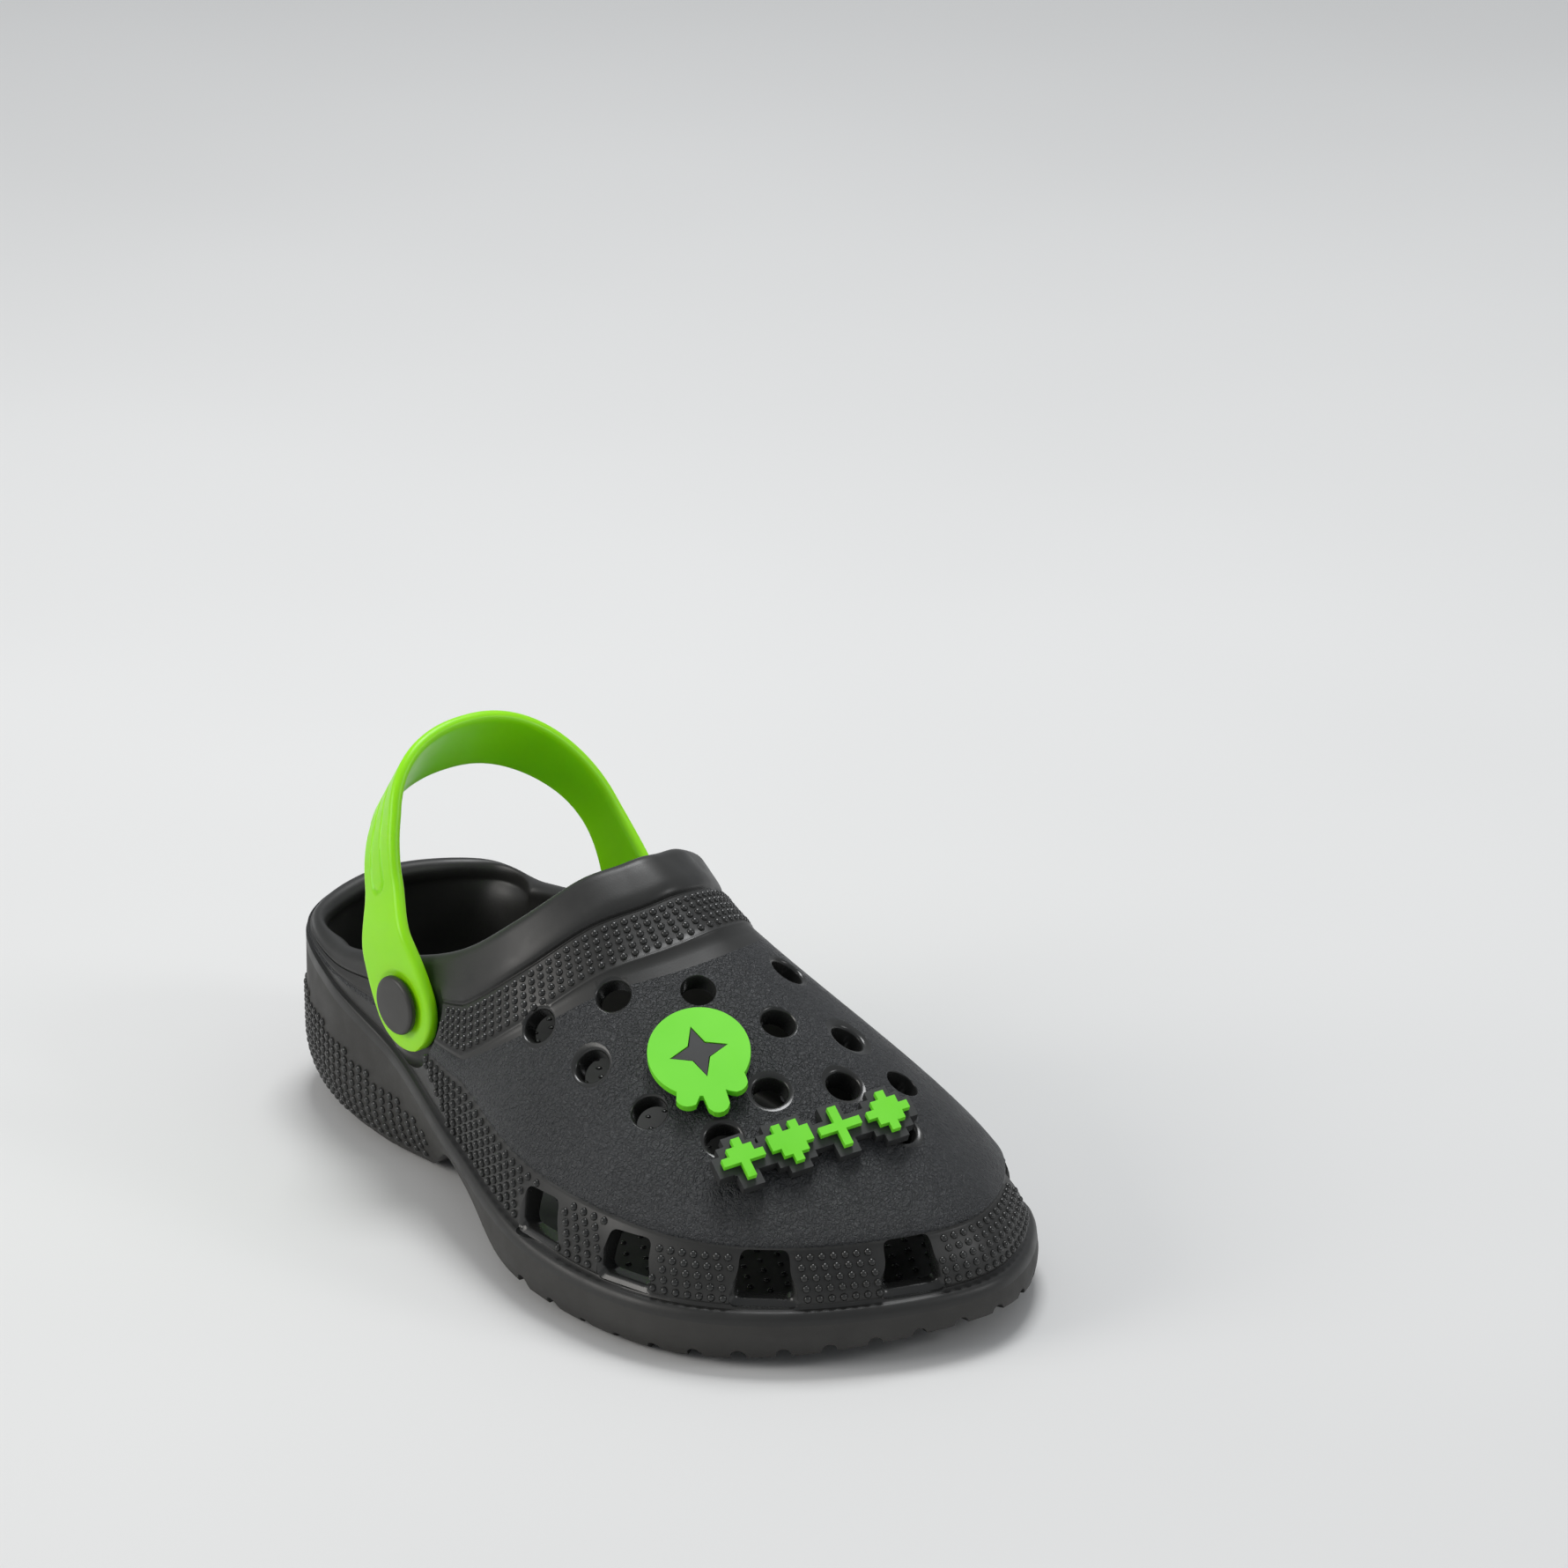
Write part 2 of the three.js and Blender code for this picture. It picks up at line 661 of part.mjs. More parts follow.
function heelStrap() {
  const line = strapLine();
  const rows = line.map((point, i) => {
    const before = line[Math.max(0, i - 1)];
    const after = line[Math.min(line.length - 1, i + 1)];
    const along = vec(0, after.y - before.y, after.z - before.z).normalize();
    const outward = vec(0, -along.z, along.y);
    const half = strapWidth(point) / 2;
    const thick = STRAP_THICKNESS / 2;
    const corner = 0.9;
    const section = [
      [half - corner, thick],
      [half, thick - corner],
      [half, -thick + corner],
      [half - corner, -thick],
      [-half + corner, -thick],
      [-half, -thick + corner],
      [-half, thick - corner],
      [-half + corner, thick],
    ];
    const cos = Math.cos(strapTilt(point.z));
    const sin = Math.sin(strapTilt(point.z));
    return section.map(([x, w]) =>
      vec(x * cos - w * sin, point.y, point.z).addScaledVector(outward, x * sin + w * cos),
    );
  });
  const points = rows.flat();
  const triangles = [];
  const n = rows[0].length;
  for (let r = 0; r < rows.length - 1; r++) {
    for (let j = 0; j < n; j++) {
      const k = (j + 1) % n;
      triangles.push([r * n + j, r * n + k, (r + 1) * n + j]);
      triangles.push([r * n + k, (r + 1) * n + k, (r + 1) * n + j]);
    }
  }
  const last = (rows.length - 1) * n;
  for (let j = 1; j < n - 1; j++) {
    triangles.push([0, j + 1, j]);
    triangles.push([last, last + j, last + j + 1]);
  }
  let strap = solid(meshGeometry(points, triangles));
  for (const side of [-1, 1]) {
    const middle = side * STRAP_HALF;
    strap = strap.subtract(cylinderAlongY(0, 0, STRAP_HOLE_RADIUS, middle - 4, middle + 4, 20));
  }
  return geometryOf(strap);
}

// ---- Rivets --------------------------------------------------------------------------------

// Head and shank in one turned piece; +Z points out of the clog and z = 0 is under the head.
function rivetHead() {
  const depth = STRAP_THICKNESS + 2 * GAP + GAP + SEAT_WALL + WASHER_HEIGHT;
  const profile = [
    [0, -depth],
    [RIVET_SHANK_RADIUS - 0.5, -depth],
    [RIVET_SHANK_RADIUS, -depth + 0.5],
    [RIVET_SHANK_RADIUS, 0],
    [RIVET_HEAD_RADIUS, 0],
    [RIVET_HEAD_RADIUS, RIVET_HEAD_HEIGHT - 0.9],
    [RIVET_HEAD_RADIUS - 0.8, RIVET_HEAD_HEIGHT - 0.2],
    [RIVET_HEAD_RADIUS - 2, RIVET_HEAD_HEIGHT],
    [0, RIVET_HEAD_HEIGHT],
  ];
  const g = new THREE.LatheGeometry(profile.map(([r, z]) => new THREE.Vector2(r, z)), 28);
  g.rotateX(Math.PI / 2);
  return geometryOf(solid(g));
}

function rivetWasher() {
  const hole = STRAP_HOLE_RADIUS;
  const profile = [
    [hole, 0],
    [WASHER_RADIUS - 0.4, 0],
    [WASHER_RADIUS, 0.4],
    [WASHER_RADIUS, WASHER_HEIGHT],
    [hole, WASHER_HEIGHT],
    [hole, 0],
  ];
  const g = new THREE.LatheGeometry(profile.map(([r, z]) => new THREE.Vector2(r, z)), 20);
  g.rotateX(Math.PI / 2);
  return geometryOf(solid(g));
}

// ---- Charms --------------------------------------------------------------------------------

// A push-in stem through a vent, with the head that holds it behind the wall.
// It stands on the vent's own axis and is given in the frame of the charm above it.
function stemSolid(vent, charmPlace) {
  const ventPlace = frameOn(seatOnUpper(...vent, 4), vec(1, 0, 0));
  const toCharm = charmPlace.clone().invert().multiply(ventPlace);
  const start = vec(0, 0, 0).applyMatrix4(toCharm);
  const ahead = vec(0, 0, 1).applyMatrix4(toCharm).sub(start);
  const top = -start.z / ahead.z + 0.6;
  const length = WALL + 2.2;
  const profile = [
    [0, -length - 2.4],
    [2, -length - 2.2],
    [STEM_HEAD_RADIUS, -length - 0.9],
    [STEM_HEAD_RADIUS, -length],
    [STEM_RADIUS, -length],
    [STEM_RADIUS, top],
    [0, top],
  ];
  const g = new THREE.LatheGeometry(profile.map(([r, z]) => new THREE.Vector2(r, z)), 20);
  g.rotateX(Math.PI / 2);
  g.applyMatrix4(toCharm);
  return solid(g);
}

// A disc outline with three rounded runs hanging from one side.
function dripOutline(grow) {
  const drips = [
    { angle: -118, width: 13, reach: 3.2 },
    { angle: -88, width: 12, reach: 5.4 },
    { angle: -60, width: 12, reach: 2.6 },
  ];
  const points = [];
  const steps = 96;
  for (let i = 0; i < steps; i++) {
    const degrees = (i / steps) * 360 - 180;
    let r = DISC_RADIUS + grow;
    for (const drip of drips) {
      const off = Math.abs(degrees - drip.angle) / drip.width;
      r += drip.reach * Math.sqrt(Math.max(0, 1 - off * off)) ** 0.8;
    }
    const a = THREE.MathUtils.degToRad(degrees);
    points.push(new THREE.Vector2(r * Math.cos(a), r * Math.sin(a)));
  }
  return new THREE.Shape(points);
}

function starOutline(outer, inner, tips) {
  const points = [];
  for (let i = 0; i < tips * 2; i++) {
    const r = i % 2 ? inner : outer;
    const a = (i / (tips * 2)) * 2 * Math.PI + Math.PI / 2;
    points.push(new THREE.Vector2(r * Math.cos(a), r * Math.sin(a)));
  }
  return new THREE.Shape(points);
}

const extrude = (shape, depth) =>
  new THREE.ExtrudeGeometry(shape, { depth, bevelEnabled: false, curveSegments: 8 });

function discFace() {
  const shape = dripOutline(0);
  shape.holes.push(starOutline(7 + GAP, 2.8 + GAP, 4));
  return geometryOf(solid(extrude(shape, DISC_FACE_HEIGHT)));
}

function discBase(stem) {
  const plate = solid(extrude(dripOutline(-1.2), DISC_BASE_HEIGHT));
  const star = extrude(starOutline(7, 2.8, 4), DISC_FACE_HEIGHT + GAP);
  star.translate(0, 0, DISC_BASE_HEIGHT - 0.2);
  return geometryOf(plate.add(solid(star)).add(stem));
}

const GLYPHS = {
  arrow: ["..#..", ".###.", "#####", "..#..", "..#.."],
  heart: [".#.#.", "#####", "#####", ".###.", "..#.."],
  plus: ["..#..", "..#..", "#####", "..#..", "..#.."],
  diamond: ["..#..", ".###.", "#####", ".###.", "..#.."],
};
const GLYPH_STEP = TILE * 5 + GLYPH_GAP;

function tiles(name, index) {
  const found = [];
  GLYPHS[name].forEach((row, r) => {
    [...row].forEach((mark, c) => {
      if (mark === "#") {
        found.push([(c - 2) * TILE + (index - 1.5) * GLYPH_STEP, (2 - r) * TILE]);
      }
    });
  });
  return found;
}

function tilePlate(name, index, grow, from, height) {
  const side = TILE + 0.02 + grow * 2;
  const boxes = tiles(name, index).map(([x, y]) => {
    const g = new THREE.BoxGeometry(side, side, height);
    g.translate(x, y, from + height / 2);
    return solid(g);
  });
  return boxes.reduce((a, b) => a.add(b));
}

function barBase(stems) {
  let base = null;
  Object.keys(GLYPHS).forEach((name, i) => {
    const plate = tilePlate(name, i, BAR_MARGIN, 0, BAR_BASE_HEIGHT);
    base = base ? base.add(plate) : plate;
  });
  const spine = new THREE.BoxGeometry(GLYPH_STEP * 4 - 6, TILE * 3, BAR_BASE_HEIGHT);
  spine.translate(0, 0, BAR_BASE_HEIGHT / 2);
  base = base.add(solid(spine));
  for (const stem of stems) {
    base = base.add(stem);
  }
  return geometryOf(base);
}

// ---- Assembly ------------------------------------------------------------------------------

const material = (color, roughness) => new THREE.MeshStandardMaterial({ color, roughness, metalness: 0 });
const charcoal = material(CHARCOAL, 0.62);
const dark = material(DARK_RUBBER, 0.5);
const green = material(GREEN, 0.45);
const charmGreen = material(CHARM_GREEN, 0.4);

function piece(name, geometry, mat) {
  const mesh = new THREE.Mesh(geometry, mat);
  mesh.name = name;
  return mesh;
}

const clog = new THREE.Group();
clog.name = "rubber_garden_clog";
clog.add(piece("clog_body", clogBody(), charcoal));

const strap = piece("heel_strap", heelStrap(), green);
strap.position.set(PIVOT_X, STRAP_MID_Y, PIVOT_Z);
strap.rotation.y = THREE.MathUtils.degToRad(-STRAP_LEAN_DEG);
clog.add(strap);

for (const [label, face, side] of [["outer", SEAT_OUTER_Y, -1], ["inner", SEAT_INNER_Y, 1]]) {
  const head = piece("rivet_head_" + label, rivetHead(), dark);
  head.position.set(PIVOT_X, face + side * (STRAP_THICKNESS + 2 * GAP), PIVOT_Z);
  head.rotation.x = (-side * Math.PI) / 2;
  clog.add(head);
  const washer = piece("rivet_washer_" + label, rivetWasher(), dark);
  washer.position.set(PIVOT_X, face - side * (SEAT_WALL + GAP), PIVOT_Z);
  washer.rotation.x = (side * Math.PI) / 2;
  clog.add(washer);
}

// How far a flat plate must rise along its seat's normal to clear the wall below it.
function liftOver(place, halfLength, halfWidth) {
  const back = place.clone().invert();
  let highest = 0;
  for (let i = -6; i <= 6; i++) {
    for (let j = -4; j <= 4; j++) {
      const over = vec((i / 6) * halfLength, (j / 4) * halfWidth, 0).applyMatrix4(place);
      const below = onUpper(over.x, over.y);
      if (below) {
        highest = Math.max(highest, below.point.applyMatrix4(back).z);
      }
    }
  }
  return highest + GAP;
}

function raise(place, lift) {
  return place.clone().multiply(new THREE.Matrix4().makeTranslation(0, 0, lift));
}

// Round charm, seated on its vent with its runs towards the toe.
const discPlace = frameOn(seatOnUpper(...DISC_VENT, 9), vec(0.35, 1, 0));
const discLift = liftOver(discPlace, DISC_RADIUS, DISC_RADIUS);
const discCharm = new THREE.Group();
const discRaised = raise(discPlace, discLift);
discCharm.applyMatrix4(discRaised);
discCharm.add(piece("round_charm_base", discBase(stemSolid(DISC_VENT, discRaised)), dark));
const face = piece("round_charm_face", discFace(), charmGreen);
face.position.z = DISC_BASE_HEIGHT + GAP;
discCharm.add(face);
clog.add(discCharm);

// Block charm, lying across the toe over two vents.
const barPlace = frameOn(seatOnUpper(...BAR_CENTRE, 12), vec(...BAR_DIRECTION, 0));
const barLift = liftOver(barPlace, GLYPH_STEP * 2, TILE * 2.5 + BAR_MARGIN);
const barRaised = raise(barPlace, barLift);
const barStems = BAR_VENTS.map((vent) => stemSolid(vent, barRaised));
const blockCharm = new THREE.Group();
blockCharm.applyMatrix4(barRaised);
blockCharm.add(piece("block_charm_base", barBase(barStems), dark));
Object.keys(GLYPHS).forEach((name, i) => {
  const glyph = piece("block_charm_" + name, geometryOf(tilePlate(name, i, 0, 0, GLYPH_HEIGHT)), charmGreen);
  glyph.position.z = BAR_BASE_HEIGHT + GAP;
  blockCharm.add(glyph);
});
clog.add(blockCharm);

// The frame's origin is the middle of the bounding box, on the floor.
const box = new THREE.Box3().setFromObject(clog);
clog.position.set(-(box.min.x + box.max.x) / 2, -(box.min.y + box.max.y) / 2, -box.min.z);

export default clog;
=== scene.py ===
"""A rubber garden clog for the right foot: the look of each piece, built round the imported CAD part.

Shapes are worked out in millimetres in the design's own frame (x from the heel's back, y to the
wearer's inner side, z up from the floor) and moved into the row frame, in metres, at the end.
"""

import math

import bpy
import numpy as np
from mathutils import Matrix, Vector


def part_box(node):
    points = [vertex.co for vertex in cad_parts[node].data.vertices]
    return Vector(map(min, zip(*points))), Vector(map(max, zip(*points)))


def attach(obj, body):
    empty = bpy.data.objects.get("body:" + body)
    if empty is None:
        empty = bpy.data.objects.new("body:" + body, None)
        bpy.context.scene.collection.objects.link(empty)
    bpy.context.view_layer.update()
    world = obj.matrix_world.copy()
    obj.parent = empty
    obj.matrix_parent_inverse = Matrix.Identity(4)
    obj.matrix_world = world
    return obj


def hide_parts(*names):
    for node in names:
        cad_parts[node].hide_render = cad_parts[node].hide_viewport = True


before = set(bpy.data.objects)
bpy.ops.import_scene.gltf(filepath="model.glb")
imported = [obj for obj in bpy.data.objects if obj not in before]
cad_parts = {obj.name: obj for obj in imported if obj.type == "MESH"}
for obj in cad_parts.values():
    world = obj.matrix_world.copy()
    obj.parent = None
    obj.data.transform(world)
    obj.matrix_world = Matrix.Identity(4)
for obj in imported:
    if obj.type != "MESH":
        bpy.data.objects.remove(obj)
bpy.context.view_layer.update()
MM = 0.001

# ---- Driving dimensions, in millimetres ------------------------------------------------------

# Stations round the foot: sole outline (x, y), height of the lip, point (x, y, z) on the rim.
STATIONS = np.array([
    (0, 0, 44, 6, 0, 51),
    (11, 27, 44, 14, 26, 49),
    (38, 34.6, 40, 38, 32, 48),
    (70, 34.5, 32, 67, 30, 55),
    (102, 37, 24, 92, 29, 66),
    (136, 42, 18, 107, 28, 79),
    (172, 50, 15.5, 115, 16, 88),
    (210, 50, 15.5, 119, 6, 91),
    (235, 18, 16, 120, 0, 92),
    (222, -25, 15.5, 119, -6, 91),
    (192, -53, 15, 115, -16, 88),
    (150, -60, 16.5, 107, -29, 78),
    (108, -52, 24, 92, -36, 66),
    (70, -42, 32, 67, -37.3, 55.5),
    (38, -39, 40, 38, -36, 48),
    (11, -27, 44, 14, -26, 49),
], float)
TOE_STATION = 8
# The skin is built on fine columns; the CAD's windows sit on its own coarser ones.
COLUMNS, CAD_COLUMNS = 600, 80
CLOG_LENGTH = 235

LIP_LOW, LIP_HIGH = 15, 44
LEDGE_FRONT, LEDGE_HEEL = 3, 1.2
RIM_THICKNESS, RIM_SETBACK = 6, 2
WALL = 5
# The sole's rounded lower edge: its reach in and up, and how much both grow towards the heel.
SOLE_TUCK, SOLE_TUCK_HEEL, SOLE_ROUND, SOLE_ROUND_HEEL = 7, 1.5, 9.5, 1.9
LIP_ROUND, STRIP_INSET = 3, 0.35
FOOTBED_HEEL, FOOTBED_TOE = 21, 12
FOOTBED_FALL_START, FOOTBED_FALL_LENGTH = 95, 75
BAND_SIDE, BAND_TOE, BAND_STEP = 17, 14, 1.1
COLLAR_ROLL, GROOVE_WIDTH, GROOVE_DEPTH = 10, 1.8, 1.0
COLLAR_BAND, RIDGE_WIDTH, RIDGE_HEIGHT = 23.5, 1.5, 0.35
FULL_LENGTH = 48

VENT_RADIUS, VENT_LIP = 4.2, 1.1
VENTS = [
    (127, -38), (140, -25), (153, -9), (154, 18), (147, -37), (169, 3), (176, 19), (167, -35),
    (182, -10), (184, -26), (189, 7), (191, 24), (166, -19), (197, -11), (203, 13),
]

WINDOW_WIDTH, WINDOW_HEIGHT, WINDOW_SILL, WINDOW_REACH = 14, 11.2, 1.9, 12
# Windows by side of the foot (-1 outer, 1 inner, 0 the toe) and the x or y that each sits at.
WINDOWS = [(-1, 149), (-1, 179), (-1, 212), (1, 137), (1, 176), (1, 211), (0, -5)]
WINDOW_CORNER, WINDOW_LEAN, TOE_FROM_X = 2.2, 1.3, 200
# A side window midway between two fine columns takes the forward one.
TIE_FORWARD = 0.01

TREAD_PITCH, TREAD_WIDTH, TREAD_DEPTH, TREAD_REACH = 11, 3, 2.4, 14
WAIST_START, WAIST_TOP, WAIST_END, WAIST_RISE, WAIST_FALL_POWER = 70, 100, 175, 15.5, 1.35
WAIST_PINCH, PINCH_POWER = 9, 0.8
PINCH_START, PINCH_GROWTH, PINCH_END, PINCH_FADE = 58, 34, 142, 44
NOTCHES_HEEL_END, NOTCHES_FORE_START = 62, 140
NOTCH_WIDTH, NOTCH_DEPTH = 4.0, 2.9
# The cross grooves: first and last x, half length and middle y.
GROOVES = ((19, 63, 13, 0), (166, 210, 22, -4))
TOE_SPRING, TOE_SPRING_START, HEEL_BEVEL = 8, 168, 4

PIVOT_X, PIVOT_Z = 75, 48
SEAT_OUTER_Y, SEAT_INNER_Y = -39, 32.6
SEAT_RADIUS, SEAT_WALL, GAP = 12.6, 6.5, 0.3
SEAT_CLEARANCE, SEAT_FILLET = 1.2, 2.6

STRAP_THICKNESS = 3.4
STRAP_END_WIDTH, STRAP_ARM_WIDTH, STRAP_TOP_WIDTH = 25, 16, 19
STRAP_REACH, STRAP_STRAIGHT, STRAP_LEAN_DEG = 60.7, 13.5, 29.5
STRAP_HOLE_RADIUS = 3.2
STRAP_INNER_LEAN, STRAP_LEAN_START, STRAP_LEAN_FULL = 3.2, 35, 66
STRAP_OUTER_LEAN, STRAP_OUTER_START, STRAP_OUTER_EASE = 3, 14, 16
STRAP_TILT_DEG, STRAP_TILT_START, STRAP_TILT_POWER = 33, 20, 2.2
STRAP_ARCH_POWER = 0.89
STRAP_CORNER, STRAP_CROWN, STRAP_DISH = 1.35, 0.25, 0.35
# The engraved outline of a long slot on each arm, by distance from the pivot.
SLOT_START, SLOT_END, SLOT_HALF, SLOT_LINE, SLOT_DEPTH = 31, 53, 2.7, 0.62, 0.5

RIVET_HEAD_RADIUS, RIVET_HEAD_HEIGHT, RIVET_SHANK_RADIUS = 7.6, 2, 2.9
WASHER_RADIUS, WASHER_HEIGHT = 5, 1.6

BAND_BUMP, BAND_PITCH, BAND_ROW, BAND_GAP = 0.98, 2.85, 2.55, 2.2
COLLAR_BUMP, COLLAR_PITCH, COLLAR_ROWS = 0.98, 2.75, 5
HEEL_BUMP, HEEL_PITCH, HEEL_ROW = 1.08, 3.4, 2.5
SIDE_STRETCH = 0.8
BUMP_HEIGHT, BUMP_ROOT = 0.7, 0.5
NUB_PITCH, NUB_SIZE, NUB_MARGIN = 5.2, 0.8, 4
# The top of the heel's panel of bumps, as x and height.
HEEL_PANEL_X, HEEL_PANEL_TOP = [0, 21, 45, 58, 73, 80], [33, 30, 25.6, 22.7, 20, 16.5]
HEEL_PANEL_ROWS, HEEL_PANEL_LOW, HEEL_PANEL_END = 12, 6.4, 82

# The camera: lens in mm, target and distance in m, angles in degrees.
CAMERA_LENS, CAMERA_DISTANCE, CAMERA_TARGET = 134.4, 1.2693, (0.1375, -0.0609, 0.1716)
CAMERA_AZIMUTH, CAMERA_ELEVATION = 38.81, 22.62

# Where the design's zero lies in the row frame.
RIVET_FACE_Y = SEAT_OUTER_Y - 2 * GAP - STRAP_THICKNESS - RIVET_HEAD_HEIGHT
ORIGIN = np.array([
    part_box("clog_body")[0].x / MM,
    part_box("rivet_head_outer")[0].y / MM - RIVET_FACE_Y,
    0,
])


# ---- Small helpers ---------------------------------------------------------------------------

def smooth(t):
    """A soft step from 0 to 1."""
    t = np.clip(t, 0, 1)
    return t * t * (3 - 2 * t)


def lerp(a, b, t):
    return a + (b - a) * t


def unit(v):
    return v / np.maximum(np.linalg.norm(v, axis=-1, keepdims=True), 1e-12)


def mesh_object(name, points, faces, materials):
    """A mesh object from points in design millimetres."""
    mesh = bpy.data.meshes.new(name)
    placed = (np.asarray(points, float).reshape(-1, 3) + ORIGIN) * MM
    mesh.from_pydata(placed.tolist(), [], [list(map(int, f)) for f in faces])
    for m in materials:
        mesh.materials.append(m)
    mesh.polygons.foreach_set("use_smooth", [True] * len(mesh.polygons))
    mesh.update()
    made = bpy.data.objects.new(name, mesh)
    bpy.context.scene.collection.objects.link(made)
    return made


def lathe(profile, steps):
    """Points and faces of a closed turned solid about Z; the profile runs from axis to axis or closes."""
    profile = np.asarray(profile, float)
    closed = abs(profile[0, 0]) > 1e-9
    angles = np.arange(steps) / steps * 2 * math.pi
    points, rings = [], []
    for r, z in profile[:-1] if closed else profile:
        if r < 1e-9:
            rings.append([len(points)] * steps)
            points.append((0, 0, z))
        else:
            rings.append(list(range(len(points), len(points) + steps)))
            points += [(r * math.cos(a), r * math.sin(a), z) for a in angles]
    if closed:
        rings.append(rings[0])
    faces = []
    for low, high in zip(rings, rings[1:]):
        for j in range(steps):
            k = (j + 1) % steps
            corners = [low[j], low[k], high[k], high[j]]
            faces.append(list(dict.fromkeys(corners)))
    return np.array(points, float), [f for f in faces if len(f) > 2]


def ring_faces(rings, columns):
    """Quads between neighbouring rings of points."""
    faces = []
    for r in range(rings - 1):
        for j in range(columns):
            k = (j + 1) % columns
            a, b = r * columns + j, r * columns + k
            faces.append((a, a + columns, b + columns, b))
    return faces


def apply_modifiers(made):
    """Replaces the object's mesh by its modified one."""
    dg = bpy.context.evaluated_depsgraph_get()
    mesh = bpy.data.meshes.new_from_object(made.evaluated_get(dg))
    made.modifiers.clear()
    made.data = mesh
    return made


def boolean(made, tool, operation):
    """Joins or cuts made by tool, which is then removed."""
    m = made.modifiers.new("cut", "BOOLEAN")
    m.solver = "MANIFOLD"
    m.operation = operation
    m.object = tool
    bpy.context.view_layer.update()
    apply_modifiers(made)
    bpy.data.objects.remove(tool)
    return made


def volume(points, faces):
    """Signed volume of a closed solid, above zero where its faces look outward."""
    total = 0.0
    for face in faces:
        a = points[face[0]]
        for i in range(1, len(face) - 1):
            total += np.dot(a, np.cross(points[face[i]], points[face[i + 1]])) / 6
    return total


def join_solids(name, solids, material):
    """One object holding several (points, faces) solids."""
    points, faces, total = [], [], 0
    if volume(*solids[0]) <= 0:
        raise ValueError(name + " is inside out")
    for p, f in solids:
        points.append(np.asarray(p, float))
        faces += [[i + total for i in face] for face in f]
        total += len(p)
    return mesh_object(name, np.concatenate(points), faces, [material])


def smooth_by_angle(made, degrees):
    mesh = made.data
    mesh.polygons.foreach_set("use_smooth", [True] * len(mesh.polygons))
    mesh.set_sharp_from_angle(angle=math.radians(degrees))


# ---- The clog's surface ----------------------------------------------------------------------

def station(u):
    """The closed Catmull-Rom curve through the stations, at an array of places along it."""
    u = np.atleast_1d(u)
    i = np.floor(u).astype(int)
    f = (u - i)[:, None]
    n = len(STATIONS)
    a, b, c, d = (STATIONS[(i + o) % n] for o in (-1, 0, 1, 2))
    return 0.5 * (
        2 * b + (c - a) * f + (2 * a - 5 * b + 4 * c - d) * f * f + (3 * b - a - 3 * c + d) * f ** 3
    )


def side_stations(start, end, count):
    """Evenly spaced stations along one side of the outline."""
    u = np.linspace(start, end, 4001)
    xy = station(u)[:, :2]
    travelled = np.concatenate([[0], np.cumsum(np.linalg.norm(np.diff(xy, axis=0), axis=1))])
    wanted = travelled[-1] * np.arange(count) / count
    return station(np.interp(wanted, travelled, u))


def outline_columns(columns):
    """Stations of evenly spaced columns, from the heel over the inner side and the toe, and back."""
    return np.concatenate([
        side_stations(0, TOE_STATION, columns // 2),
        side_stations(TOE_STATION, len(STATIONS), columns // 2),
    ])


def bezier(p, t):
    """A cubic through control points p (4, columns, 3) at values t, as (values, columns, 3)."""
    t = np.asarray(t, float)[:, None, None]
    return p[0] * (1 - t) ** 3 + 3 * p[1] * (1 - t) ** 2 * t + 3 * p[2] * (1 - t) * t * t + p[3] * t ** 3


def with_z(v, z):
    made = v.copy()
    made[:, 2] = z
    return made


